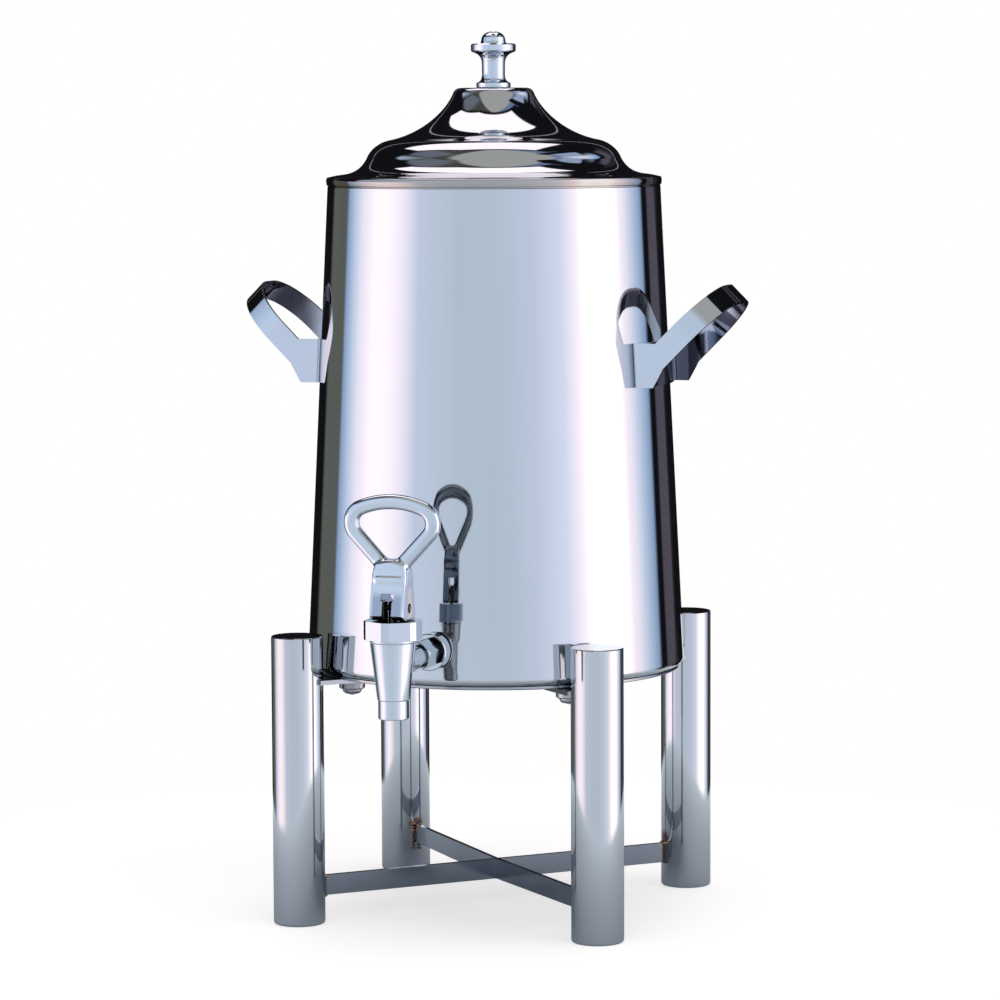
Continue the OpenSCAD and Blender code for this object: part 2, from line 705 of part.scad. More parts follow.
module valve_spring() {
    rings = floor(spring_turns * spring_steps);
    points = [for (i = [0:rings]) let (u = i / rings, a = 360 * spring_turns * u)
        for (j = [0:spring_sides - 1]) let (b = 360 * j / spring_sides)
            [(spring_r + spring_wire_r * cos(b)) * cos(a), (spring_r + spring_wire_r * cos(b)) * sin(a),
             spring_rise(u) + spring_wire_r * sin(b)]];
    sides = [for (i = [0:rings - 1]) for (j = [0:spring_sides - 1]) let (k = (j + 1) % spring_sides)
        [i * spring_sides + j, (i + 1) * spring_sides + j, (i + 1) * spring_sides + k, i * spring_sides + k]];
    start_cap = [for (j = [0:spring_sides - 1]) j];
    end_cap = [for (j = [spring_sides - 1:-1:0]) rings * spring_sides + j];
    color(brushed_steel) at_valve() polyhedron(points, concat(sides, [start_cap, end_cap]), convexity = 10);
}

// ---------- Faucet handle ----------

slot_w = stem_d + 2 * move_gap;
slot_top = 0.235 * yoke_w;
window_w = 0.365 * yoke_w;
window_h = 0.19 * yoke_w;
yoke_top = 0.7 * yoke_w;
yoke_back = yoke_foot_depth / 2 - 2.2;
collar_h = 0.2 * yoke_w;
collar_w = yoke_w + 0.6;
head_r = 0.94 * pin_d;
head_t = 0.4 * pin_d;
// Outline point of the cam: its distance from the pin grows evenly with the tilt
function cam_point(a) = let (p = pin_rise + cam_lift * a * PI / 180)
    [p * sin(a) + cam_lift * cos(a), -p * cos(a) + cam_lift * sin(a)];

// Side view of the yoke, forward to the left, about the pin
module yoke_side() {
    cam_end = cam_point(tilt_max);
    front = max(yoke_foot_depth / 2, cam_end[0] + 0.3);
    polygon(concat(
        [[-yoke_top_depth / 2, yoke_top], [-front, cam_end[1] + (front - cam_end[0])]],
        [for (i = [8:-1:0]) let (p = cam_point(tilt_max * i / 8)) [-p[0], p[1]]],
        [[yoke_back - 1.5, -pin_rise], [yoke_back, -pin_rise + 1.5], [yoke_top_depth / 2 - 1.4, yoke_top]]));
}

// Upright block with rounded corners, centred on the valve's axis
module rounded_block(w, d, r, h) {
    for (sx = [-1, 1]) for (sy = [-1, 1]) translate([sx * (w / 2 - r), sy * (d / 2 - r), 0]) cylinder(r = r, h = h, $fn = 32);
    translate([-w / 2 + r, -d / 2, 0]) cube([w - 2 * r, d, h]);
    translate([-w / 2, -d / 2 + r, 0]) cube([w, d - 2 * r, h]);
}

// Section of the loop's bar: a rectangle with well rounded corners
module bar_section(inset = 0) {
    r = min(loop_bar_w, loop_bar_depth) * 0.42;
    w = loop_bar_w / 2 - r - inset;
    d = loop_bar_depth / 2 - r - inset;
    polygon(concat(arc(w, d, r, 0, 90, 5), arc(-w, d, r, 90, 180, 5), arc(-w, -d, r, 180, 270, 5), arc(w, -d, r, 270, 360, 5)));
}

// Loop in the XZ plane: a shallow top arc, two round corners and two legs that run down to the neck
corner_line_r = 0.156 * loop_w;
corner_x = loop_w / 2 - loop_bar_w / 2 - corner_line_r;
corner_drop = 0.2095 * loop_w;
corner_z = loop_top - loop_bar_w / 2 - corner_drop;
top_arc_r = (pow(corner_x, 2) + pow(corner_drop, 2) - pow(corner_line_r, 2)) / (2 * (corner_drop - corner_line_r));
top_arc_half = asin(corner_x / (top_arc_r - corner_line_r));
leg_angle = 43;
neck_w = collar_w - 1;
// The legs run down until they meet inside the neck
leg_run = (corner_x + corner_line_r * cos(leg_angle) - 0.235 * neck_w) / sin(leg_angle);
module loop_arc(x, z, r, a0, a1, inset = 0) {
    translate([x, 0, z]) rotate([90, 0, 0]) rotate([0, 0, a0])
        rotate_extrude(angle = a1 - a0, $fn = 96) translate([r, 0]) bar_section(inset);
}

module loop() {
    // The top arc and the legs reach a little into the corners, a hair slimmer
    lap = 0.5;
    slim = 0.05;
    loop_arc(0, loop_top - loop_bar_w / 2 - top_arc_r, top_arc_r, 90 - top_arc_half - lap, 90 + top_arc_half + lap, slim);
    for (side = [0, 1]) mirror([side, 0, 0]) {
        loop_arc(corner_x, corner_z, corner_line_r, -leg_angle, 90 - top_arc_half);
        translate([corner_x + corner_line_r * cos(leg_angle), 0, corner_z - corner_line_r * sin(leg_angle)])
            rotate([0, 180 + leg_angle, 0]) translate([0, 0, -lap]) linear_extrude(leg_run + lap) bar_section(slim);
    }
}

neck_z = yoke_top + collar_h;
module faucet_handle() {
    color(bright_chrome) translate([0, -valve_reach, pin_z]) difference() {
        union() {
            intersection() {
                translate([-yoke_w / 2, 0, 0]) rotate([90, 0, 90]) linear_extrude(yoke_w) yoke_side();
                translate([0, 0, -pin_rise]) rounded_block(yoke_w, yoke_foot_depth + 2, 3, pin_rise + yoke_top);
            }
            translate([0, 0, yoke_top]) rounded_block(collar_w, yoke_top_depth + 0.6, 4, collar_h);
            translate([0, 0, neck_z]) rounded_block(neck_w, 0.64 * yoke_top_depth, 4, collar_h);
            loop();
            // Web that fills the fork below the loop
            rotate([90, 0, 0]) linear_extrude(loop_bar_depth - 1.4, center = true) polygon([
                [-0.42 * neck_w, neck_z + 1], [0.42 * neck_w, neck_z + 1], [0.42 * neck_w, neck_z + collar_h],
                [0.06 * neck_w, neck_z + 1.7 * collar_h], [-0.06 * neck_w, neck_z + 1.7 * collar_h],
                [-0.42 * neck_w, neck_z + collar_h]]);
        }
        // Slot for the stem, open below and through from front to back
        translate([-slot_w / 2, -yoke_w, -pin_rise - 1]) cube([slot_w, 2 * yoke_w, pin_rise + 1 + slot_top]);
        translate([-window_w / 2, -yoke_w, slot_top]) cube([window_w, 2 * yoke_w, window_h]);
        translate([-yoke_w, 0, 0]) rotate([0, 90, 0]) cylinder(d = pin_d + 2 * 0.01, h = 2 * yoke_w);
        for (side = [-1, 1]) translate([side * yoke_w / 2, 0, 0]) rotate([0, 90, 0])
            cylinder(r = head_r, h = 2 * head_t, center = true);
        // Clear the legs' ends inside the collar
        translate([-loop_w / 2, -yoke_w, -loop_w]) cube([loop_w, 2 * yoke_w, loop_w - pin_rise]);
    }
}

module handle_pin() {
    len = yoke_w - 2 * head_t;
    color(brass) translate([-len / 2, -valve_reach, pin_z]) rotate([0, 90, 0]) cylinder(d = pin_d, h = len);
}

// ---------- Lid ----------

brim_out_r = mouth_r + move_gap + lid_t;
lid_top_z = rim_z + lid_h;
gasket_h = 2;
pan_flange_z = rim_z + move_gap + gasket_h;
pan_t = 1;
plug_r = liner_r(rim_z) - liner_t - 1.6;

// Outside of the lid from the flat top out to the brim; it scales with the lid's height
function lid_curve() = let (s = lid_h / 66.5, o = brim_out_r - 114.9, z = rim_z) concat(
    arc(lid_top_r, lid_top_z - 5, 5, 90, 28, 5),
    bezier([[lid_top_r + 4.4, lid_top_z - 2.7], [lid_top_r + 10.5, z + 49.5 * s], [50 + o, z + 35 * s], [73.5 + o, z + 30.2 * s]], 12),
    bezier([[73.5 + o, z + 30.2 * s], [79.5 + o, z + 28.9 * s], [85.9 + o, z + 24.8 * s], [87.2 + o, z + 19.6 * s]], 8),
    bezier([[87.2 + o, z + 19.6 * s], [89 + o, z + 14.2 * s], [97 + o, z + 9.6 * s], [111 + o, z + 6.2 * s]], 9),
    [[brim_out_r - 0.6, z + 4.8], [brim_out_r, z + 4]]);
// The same curve one sheet thickness inside, point by point along its normals
function lid_inside(c) = [for (i = [0:len(c) - 1])
    let (a = c[max(0, i - 1)], b = c[min(len(c) - 1, i + 1)], d = b - a, n = [-d[1], d[0]] / norm(d))
    c[i] - lid_t * n];

module lid_shell() {
    outside = concat(lid_curve(), [[brim_out_r, rim_z + 4 - brim_h]]);
    inside = lid_inside(lid_curve());
    n = len(inside);
    color(dark_steel) difference() {
        rotate_extrude($fn = 180) polygon(concat(
            [[0, lid_top_z]], outside, [[brim_out_r - lid_t, rim_z + 4 - brim_h]],
            [[brim_out_r - lid_t, rim_z + 3.6]],
            [for (i = [n - 3:-1:1]) inside[i]],
            [[0, lid_top_z - lid_t]]));
        cylinder(d = knob_screw_d + 0.6, h = lid_top_z + 1);
    }
}

// Pressed pan that closes the lid below and plugs the tank's mouth
module lid_pan() {
    flange_r = brim_out_r - lid_t - loose_gap;
    bottom_z = rim_z - plug_h;
    color(brushed_steel) rotate_extrude($fn = 180) polygon(concat(
        [[0, bottom_z], [plug_r - 3, bottom_z]],
        arc(plug_r - 3, bottom_z + 3, 3, -90, 0, 5),
        [[plug_r, pan_flange_z], [flange_r, pan_flange_z], [flange_r, pan_flange_z + pan_t], [plug_r - pan_t, pan_flange_z + pan_t]],
        arc(plug_r - 3, bottom_z + 3, 2, 0, -90, 5),
        [[0, bottom_z + pan_t]]));
}

module lid_insulation() {
    bottom_z = rim_z - plug_h + pan_t + loose_gap;
    color(foam) translate([0, 0, bottom_z]) cylinder(r = plug_r - pan_t - 3, h = pan_flange_z + pan_t - bottom_z, $fn = 120);
}

// Flat silicone ring under the pan's flange
module lid_gasket() {
    color(silicone) translate([0, 0, rim_z + move_gap]) difference() {
        cylinder(r = mouth_r - 3.5, h = gasket_h - seam_gap, $fn = 180);
        translate([0, 0, -1]) cylinder(r = plug_r + loose_gap, h = gasket_h + 2, $fn = 180);
    }
}

// ---------- Knob ----------

knob_screw_d = 6;
knob_base_r = 11.7;
knob_r = knob_d / 2;
neck_r = knob_neck_d / 2;

module knob() {
    top = knob_h;
    disc_top = top - 8.4;
    disc_low = disc_top - 5.8;
    neck_top = disc_low - 8.6;
    color(bright_chrome) translate([0, 0, lid_top_z + seam_gap]) rotate_extrude() polygon(concat(
        [[knob_screw_d / 2, 0], [knob_base_r - 0.5, 0], [knob_base_r, 0.5], [knob_base_r, 3.2]],
        bezier([[knob_base_r - 0.4, 3.6], [neck_r + 1.6, 3.8], [neck_r, 5.6], [neck_r, 9]], 6),
        bezier([[neck_r, neck_top], [neck_r, neck_top + 5], [knob_r - 5.5, disc_low - 1.2], [knob_r - 1.6, disc_low]], 8),
        [[knob_r - 0.6, disc_low + 0.4], [knob_r, disc_low + 1.2], [knob_r, disc_top - 0.8], [knob_r - 0.8, disc_top],
         [8.9, disc_top], [8.3, disc_top + 1.8]],
        bezier([[8.3, disc_top + 3], [7.7, disc_top + 6.4], [4.4, top], [0, top]], 7),
        [[0, 18], [knob_screw_d / 2, 17]]));
}

module knob_washer() {
    color(brushed_steel) translate([0, 0, lid_top_z - lid_t - 1.5]) difference() {
        cylinder(r = 9, h = 1.5 - seam_gap);
        translate([0, 0, -1]) cylinder(d = knob_screw_d + 0.6, h = 4);
    }
}

module knob_screw() {
    head = 4;
    color(dark_steel) translate([0, 0, lid_top_z - lid_t - 1.5 - head - seam_gap]) {
        cylinder(d = 10, h = head);
        cylinder(d = knob_screw_d - 2 * seam_gap, h = head + 1.5 + lid_t + 14);
    }
}

outer_shell();
inner_liner();
insulation_jacket();
insulation_pad();
base_plate();
mouth_ring();
left_handle();
right_handle();
leg_tube(FRONT_LEFT);  // leg_front_left
leg_tube(FRONT_RIGHT);  // leg_front_right
leg_tube(BACK_LEFT);  // leg_back_left
leg_tube(BACK_RIGHT);  // leg_back_right
leg_cap(FRONT_LEFT);  // leg_cap_front_left
leg_cap(FRONT_RIGHT);  // leg_cap_front_right
leg_cap(BACK_LEFT);  // leg_cap_back_left
leg_cap(BACK_RIGHT);  // leg_cap_back_right
leg_glide(FRONT_LEFT);  // leg_glide_front_left
leg_glide(FRONT_RIGHT);  // leg_glide_front_right
leg_glide(BACK_LEFT);  // leg_glide_back_left
leg_glide(BACK_RIGHT);  // leg_glide_back_right
ear(FRONT_LEFT);  // ear_front_left
ear(FRONT_RIGHT);  // ear_front_right
ear(BACK_LEFT);  // ear_back_left
ear(BACK_RIGHT);  // ear_back_right
stand_studs();
stand_washers();
stand_cap_nuts();
brace_bar_long();
brace_bar_front();
brace_bar_back();
shank();
shank_spacer();
shank_outer_gasket();
shank_inner_gasket();
shank_lock_nut();
coupling_nut();
faucet_body();
bonnet();
valve_stem();
stem_collar();
seat_cup();
valve_spring();
faucet_handle();
handle_pin();
lid_shell();
lid_pan();
lid_insulation();
lid_gasket();
knob();
knob_screw();
knob_washer();
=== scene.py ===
"""Insulated beverage urn on its tube stand, dressed for a studio picture."""

import math

import bmesh
import bpy
from mathutils import Matrix, Vector
from mathutils.geometry import interpolate_bezier


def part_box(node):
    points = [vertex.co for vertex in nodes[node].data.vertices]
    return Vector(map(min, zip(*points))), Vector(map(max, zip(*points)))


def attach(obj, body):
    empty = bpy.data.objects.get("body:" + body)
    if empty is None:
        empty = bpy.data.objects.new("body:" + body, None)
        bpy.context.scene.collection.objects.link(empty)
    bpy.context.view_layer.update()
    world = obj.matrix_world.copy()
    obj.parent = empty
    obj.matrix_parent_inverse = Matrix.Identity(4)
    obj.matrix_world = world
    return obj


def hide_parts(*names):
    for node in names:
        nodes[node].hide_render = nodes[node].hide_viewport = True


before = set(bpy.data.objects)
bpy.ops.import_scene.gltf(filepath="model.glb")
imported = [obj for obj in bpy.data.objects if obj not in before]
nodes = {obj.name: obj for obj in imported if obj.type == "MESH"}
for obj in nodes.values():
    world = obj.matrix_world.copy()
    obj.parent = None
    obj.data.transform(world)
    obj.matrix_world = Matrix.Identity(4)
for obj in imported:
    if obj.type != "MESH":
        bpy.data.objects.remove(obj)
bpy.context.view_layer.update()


# ---------- Camera ----------
# A long lens in front of the urn, a little to the right of the faucet, just below the
# height of the lid and looking slightly down.

CAMERA_TURN = math.radians(18.695)
CAMERA_PLACE = (0.87966, -2.59953, 0.53802)
CAMERA_AIM = (84.6424, 0.2636, 18.6055)
camera_data = bpy.data.cameras.new("camera")
camera_data.sensor_width = 36
camera_data.lens = 144.37
camera_data.clip_end = 50
camera = bpy.data.objects.new("camera", camera_data)
camera.location = CAMERA_PLACE
camera.rotation_euler = [math.radians(angle) for angle in CAMERA_AIM]
bpy.context.scene.collection.objects.link(camera)
bpy.context.scene.camera = camera
bpy.context.scene.view_settings.view_transform = "Standard"


# ---------- Studio ----------
# A white sweep behind, dark flats beside it, blue and white walls round the front and one
# large soft box overhead. Polished metal shows these as upright bands.


def add_node(tree, kind, **settings):
    made = tree.nodes.new(kind)
    for name, value in settings.items():
        setattr(made, name, value)
    return made


def feed(tree, socket, value):
    """Links a socket to another one, or sets it to a number or a colour."""
    if isinstance(value, bpy.types.NodeSocket):
        tree.links.new(value, socket)
    elif isinstance(value, tuple) and len(value) == 3 and len(socket.default_value) == 4:
        socket.default_value = (*value, 1)
    else:
        socket.default_value = value


def maths(tree, operation, *values, clamp=False):
    made = add_node(tree, "ShaderNodeMath", operation=operation, use_clamp=clamp)
    for socket, value in zip(made.inputs, values):
        feed(tree, socket, value)
    return made.outputs[0]


def soft_step(tree, value, low, high, start=0.0, end=1.0):
    """Goes smoothly from start to end while the value goes from low to high."""
    made = add_node(tree, "ShaderNodeMapRange", interpolation_type="SMOOTHSTEP")
    for socket, number in zip(made.inputs, (value, low, high, start, end)):
        feed(tree, socket, number)
    return made.outputs[0]


def mix(tree, factor, a, b, blend="MIX"):
    made = add_node(tree, "ShaderNodeMix", data_type="RGBA", blend_type=blend)
    for socket, value in zip((made.inputs[0], made.inputs[6], made.inputs[7]), (factor, a, b)):
        feed(tree, socket, value)
    return made.outputs[2]


def ramp(tree, factor, stops):
    made = add_node(tree, "ShaderNodeValToRGB")
    feed(tree, made.inputs[0], factor)
    steps = made.color_ramp.elements
    while len(steps) < len(stops):
        steps.new(1.0)
    for step, (place, colour) in zip(steps, stops):
        step.position = place
        step.color = (*colour, 1)
    return made.outputs[0]


def split_up(tree, vector):
    """The three sides of a vector."""
    made = add_node(tree, "ShaderNodeSeparateXYZ")
    tree.links.new(vector, made.inputs[0])
    return made.outputs


def own_place(tree):
    """Where a point lies in its piece."""
    return add_node(tree, "ShaderNodeTexCoord").outputs["Object"]


# The studio is laid out as seen from the camera: to the side, in depth and in height
world = bpy.data.worlds.new("studio")
bpy.context.scene.world = world
world.use_nodes = True
sky = world.node_tree
sky.nodes.clear()
looking = add_node(sky, "ShaderNodeTexCoord").outputs["Generated"]
turned = add_node(sky, "ShaderNodeMapping")
turned.inputs["Rotation"].default_value = (0, 0, -CAMERA_TURN)
sky.links.new(looking, turned.inputs["Vector"])
side, deep, high = split_up(sky, turned.outputs[0])
around = maths(sky, "ARCTAN2", side, maths(sky, "MULTIPLY", deep, -1.0))
share = maths(sky, "MULTIPLY_ADD", around, 0.5 / math.pi, 0.5)
BLACK = (0.008, 0.008, 0.010)
SOOT = (0.03, 0.03, 0.04)
PURPLE = (0.11, 0.10, 0.13)
OLIVE = (0.145, 0.155, 0.135)
STEEL_BLUE = (0.36, 0.50, 0.76)
SKY_BLUE = (0.76, 0.90, 1.12)
SOFT_BLUE = (1.02, 1.08, 1.28)
LILAC = (1.25, 1.19, 1.34)
PALE_PINK = (1.55, 1.36, 1.46)
WHITE = (1.85, 1.85, 1.85)
WARM_WHITE = (1.63, 1.50, 1.57)
PALE_BLUE = (0.82, 0.90, 1.08)
PALE = (0.72, 0.83, 0.95)


def by_angle(stops):
    """Turns angles from the camera, in degrees to its right, into places on a ramp."""
    return [(angle / 360 + 0.5, colour) for angle, colour in stops]


# Round the horizon, from straight behind the urn over its left to the camera and on
walls = ramp(sky, share, by_angle((
    (-180, BLACK), (-146, BLACK), (-141, OLIVE), (-120, OLIVE), (-118, STEEL_BLUE),
    (-109, SKY_BLUE), (-101, LILAC), (-93, PALE_PINK), (-88, WARM_WHITE), (-78, WARM_WHITE),
    (-69, PALE_PINK), (-61, LILAC), (-52, PALE_BLUE), (-24, PALE), (0, PALE),
    (26, PALE_BLUE), (45, SOFT_BLUE), (56, PALE_PINK), (64, WHITE), (88, WHITE),
    (94, PALE_PINK), (100, LILAC), (108, SKY_BLUE), (119, STEEL_BLUE), (122, BLACK),
    (128.5, BLACK), (130, PURPLE), (140, PURPLE), (142, SOOT), (149, SOOT), (152, BLACK),
    (180, BLACK),
)))
# Near the floor the walls turn greyer
LOW_TINT = (0.965, 0.935, 0.90)
tinted = mix(sky, soft_step(sky, high, -0.05, -0.12), (1.0, 1.0, 1.0), LOW_TINT)
walls = mix(sky, 1.0, walls, tinted, blend="MULTIPLY")
# A blue flat leans over the left wall
FLAT_EDGE = (0.50, 0.62, 0.80)
FLAT_BLUE = (0.78, 0.92, 1.12)
leaning = ramp(sky, share, by_angle((
    (-111, BLACK), (-106, FLAT_EDGE), (-60, FLAT_BLUE), (-40, PALE_BLUE),
)))
over_left = maths(sky, "MULTIPLY", soft_step(sky, high, 0.07, 0.14),
                  soft_step(sky, around, -0.60, -0.80))
walls = mix(sky, over_left, walls, leaning)
# The same round above the walls
UPPER_OLIVE = (0.09, 0.09, 0.075)
UPPER_BEIGE = (0.50, 0.50, 0.48)
UPPER_BLUE = (0.20, 0.26, 0.42)
upper = ramp(sky, share, by_angle((
    (-104, BLACK), (-99, UPPER_OLIVE), (-53, UPPER_OLIVE), (-45, UPPER_BEIGE),
    (64, UPPER_BEIGE), (70, UPPER_BLUE), (99, UPPER_BLUE), (104, BLACK),
)))
room = mix(sky, soft_step(sky, high, 0.48, 0.66), walls, upper)


def between(value, low, top, blur):
    """1 between two ends, with soft edges."""
    above = soft_step(sky, maths(sky, "SUBTRACT", value, low), -blur, blur)
    below = soft_step(sky, maths(sky, "SUBTRACT", top, value), -blur, blur)
    return maths(sky, "MULTIPLY", above, below)


def patch(base, colour, left, right, front, far, blur, slant=0.0):
    """Lays a panel on the ceiling, in ceiling heights from straight above the urn."""
    sideways = maths(sky, "MULTIPLY_ADD", back, -slant, across)
    mask = maths(sky, "MULTIPLY", between(sideways, left, right, blur),
                 between(back, front, far, blur))
    return mix(sky, mask, base, colour)


# Where a line of sight meets a ceiling one unit up
safe_high = maths(sky, "MAXIMUM", high, 0.02)
across = maths(sky, "DIVIDE", side, safe_high)
back = maths(sky, "DIVIDE", deep, safe_high)
# A blue panel on each side of the soft box, and a black strip before the right one
DIM_BLUE = (0.19, 0.21, 0.25)
PANEL_BLUE = (0.42, 0.52, 0.72)
room = patch(room, DIM_BLUE, -1.10, -0.50, -0.40, 0.30, 0.10)
room = patch(room, BLACK, 0.60, 0.82, -0.32, 1.10, 0.02, slant=0.27)
room = patch(room, PANEL_BLUE, 0.82, 1.35, -0.24, 0.34, 0.03, slant=0.27)
# The soft box in its black frame, with one corner cut
BOX_WHITE = (1.70, 1.52, 1.60)
past_corner = maths(sky, "MAXIMUM", maths(sky, "SUBTRACT", -0.28, across), 0.0)
corner_cut = maths(sky, "MULTIPLY", past_corner, 0.9)
frame_front = maths(sky, "SUBTRACT", corner_cut, 0.03)
frame_right = maths(sky, "MULTIPLY_ADD", back, 0.35, 0.58)
box_front = maths(sky, "ADD", corner_cut, 0.05)
room = patch(room, BLACK, -0.76, frame_right, frame_front, 1.25, 0.02)
room = patch(room, BOX_WHITE, -0.69, 0.37, box_front, 0.87, 0.02)
# The rail that carries the sweep, and the bright gap under it
RAIL_GREY = (0.40, 0.41, 0.41)
RAIL_FALL = 0.78
GAP_WHITE = (1.4, 1.35, 1.4)
steep = maths(sky, "ARCSINE", high)
behind = maths(sky, "SUBTRACT", math.pi, maths(sky, "ABSOLUTE", around))
rail = maths(sky, "MULTIPLY_ADD", behind, RAIL_FALL, steep)
rail = between(rail, math.radians(38.8), math.radians(40.4), 0.008)
rail = maths(sky, "MULTIPLY", rail, soft_step(sky, behind, 0.62, 0.52))
room = mix(sky, rail, room, RAIL_GREY)
gap = maths(sky, "MULTIPLY", between(steep, math.radians(20), math.radians(28), 0.02),
            soft_step(sky, behind, 0.08, 0.03))
room = mix(sky, gap, room, GAP_WHITE)
background = add_node(sky, "ShaderNodeBackground")
seen = add_node(sky, "ShaderNodeLightPath").outputs["Is Camera Ray"]
sky.links.new(mix(sky, seen, room, (1, 1, 1)), background.inputs["Color"])
out = add_node(sky, "ShaderNodeOutputWorld")
sky.links.new(background.outputs[0], out.inputs["Surface"])

# A soft lamp overhead gives the floor its shadows
lamp_data = bpy.data.lights.new("overhead", "AREA")
lamp_data.shape = "DISK"
lamp_data.size = 1.4
lamp_data.energy = 14
lamp = bpy.data.objects.new("overhead", lamp_data)
lamp.location = (0.15, -0.25, 2.0)
lamp.visible_glossy = False
bpy.context.scene.collection.objects.link(lamp)

# A round table top, as pale as the sweep that it stands on. Its edge fades into the sweep, it
# can't be seen from below, and it looks cooler and darker in the metal than it is.
FLOOR_R = 0.58
FADE_FROM, FADE_TO = 0.51, 0.57
FLOOR_PALE, FLOOR_PALEST = (0.52, 0.51, 0.50), (0.54, 0.53, 0.52)
FLOOR_IN_METAL = (0.45, 0.495, 0.525)
GLOW, GLOW_IN_METAL = (1.0, 0.985, 0.97), (0.92, 1.0, 1.04)
GLOW_SEEN = 0.62
GLOW_RISE = 2.4
mesh = bmesh.new()
bmesh.ops.create_circle(mesh, cap_ends=True, segments=96, radius=FLOOR_R)
floor_mesh = bpy.data.meshes.new("floor")
mesh.to_mesh(floor_mesh)
mesh.free()
floor = bpy.data.objects.new("floor", floor_mesh)
bpy.context.scene.collection.objects.link(floor)
pale = bpy.data.materials.new("table_top")
pale.use_nodes = True
tree = pale.node_tree
tree.nodes.clear()
place = own_place(tree)
from_middle = add_node(tree, "ShaderNodeVectorMath", operation="LENGTH")
tree.links.new(place, from_middle.inputs[0])
from_middle = from_middle.outputs["Value"]
paint = add_node(tree, "ShaderNodeBsdfDiffuse")
grain = add_node(tree, "ShaderNodeTexNoise")
tree.links.new(place, grain.inputs["Vector"])
grain.inputs["Scale"].default_value = 9
rays = add_node(tree, "ShaderNodeLightPath").outputs
seen_paint = ramp(tree, grain.outputs[0], ((0.3, FLOOR_PALE), (0.7, FLOOR_PALEST)))
tree.links.new(mix(tree, rays["Is Glossy Ray"], seen_paint, FLOOR_IN_METAL),
               paint.inputs["Color"])
glow = add_node(tree, "ShaderNodeEmission")
tree.links.new(mix(tree, rays["Is Camera Ray"], GLOW_IN_METAL, GLOW), glow.inputs["Color"])
# Painted light: seen in the metal, the table glows more the further it is from its middle
glow_outward = maths(tree, "MULTIPLY", maths(tree, "POWER", from_middle, 3.0), GLOW_RISE)
glow_amount = maths(tree, "ADD", maths(tree, "MULTIPLY", rays["Is Camera Ray"], GLOW_SEEN),
                    maths(tree, "MULTIPLY", rays["Is Glossy Ray"], glow_outward))
tree.links.new(glow_amount, glow.inputs["Strength"])
both = add_node(tree, "ShaderNodeAddShader")
tree.links.new(paint.outputs[0], both.inputs[0])
tree.links.new(glow.outputs[0], both.inputs[1])
clear = add_node(tree, "ShaderNodeBsdfTransparent")
faded = add_node(tree, "ShaderNodeMixShader")
below = add_node(tree, "ShaderNodeNewGeometry").outputs["Backfacing"]
edge_fade = soft_step(tree, from_middle, FADE_FROM, FADE_TO)
tree.links.new(maths(tree, "MAXIMUM", edge_fade, below), faded.inputs[0])
tree.links.new(both.outputs[0], faded.inputs[1])
tree.links.new(clear.outputs[0], faded.inputs[2])
out = add_node(tree, "ShaderNodeOutputMaterial")
tree.links.new(faded.outputs[0], out.inputs["Surface"])
floor_mesh.materials.append(pale)


# ---------- Body ----------
# Two walls of rolled stainless sheet with foam between them, joined at the mouth by a turned
# ring. The outer wall is mirror polished up and down, the tank and the foot are satin.

surface = bpy.data.node_groups.new("metal_surface", "ShaderNodeTree")
for name, kind, way in (
    ("Vector", "NodeSocketVector", "INPUT"), ("Line Scale", "NodeSocketFloat", "INPUT"),
    ("Lines", "NodeSocketFloat", "INPUT"), ("Wave Scale", "NodeSocketFloat", "INPUT"),
    ("Waves", "NodeSocketFloat", "INPUT"), ("Smooth", "NodeSocketFloat", "INPUT"),
    ("Rough", "NodeSocketFloat", "INPUT"), ("Height", "NodeSocketFloat", "OUTPUT"),
    ("Roughness", "NodeSocketFloat", "OUTPUT"), ("Tone", "NodeSocketFloat", "OUTPUT"),
):
    surface.interface.new_socket(name=name, in_out=way, socket_type=kind)
given = add_node(surface, "NodeGroupInput")
# Fine polishing lines, slow waves left by rolling, and smudges
lines = add_node(surface, "ShaderNodeTexNoise")
lines.inputs["Detail"].default_value = 3
surface.links.new(given.outputs["Vector"], lines.inputs["Vector"])
surface.links.new(given.outputs["Line Scale"], lines.inputs["Scale"])
waves = add_node(surface, "ShaderNodeTexNoise")
waves.inputs["Detail"].default_value = 1
surface.links.new(given.outputs["Vector"], waves.inputs["Vector"])
surface.links.new(given.outputs["Wave Scale"], waves.inputs["Scale"])
height = maths(
    surface, "ADD",
    maths(surface, "MULTIPLY", lines.outputs[0], given.outputs["Lines"]),
    maths(surface, "MULTIPLY", waves.outputs[0], given.outputs["Waves"]),
)
smudge = add_node(surface, "ShaderNodeTexNoise")
smudge.inputs["Scale"].default_value = 22
smudge.inputs["Detail"].default_value = 5
surface.links.new(given.outputs["Vector"], smudge.inputs["Vector"])
spots = soft_step(surface, smudge.outputs[0], 0.42, 0.72)
spread = maths(surface, "SUBTRACT", given.outputs["Rough"], given.outputs["Smooth"])
rough = maths(
    surface, "MULTIPLY_ADD",
    maths(surface, "MULTIPLY_ADD", lines.outputs[0], 0.5, maths(surface, "MULTIPLY", spots, 0.5)),
    spread, given.outputs["Smooth"],
)
given_back = add_node(surface, "NodeGroupOutput")
surface.links.new(height, given_back.inputs["Height"])
surface.links.new(rough, given_back.inputs["Roughness"])
surface.links.new(spots, given_back.inputs["Tone"])


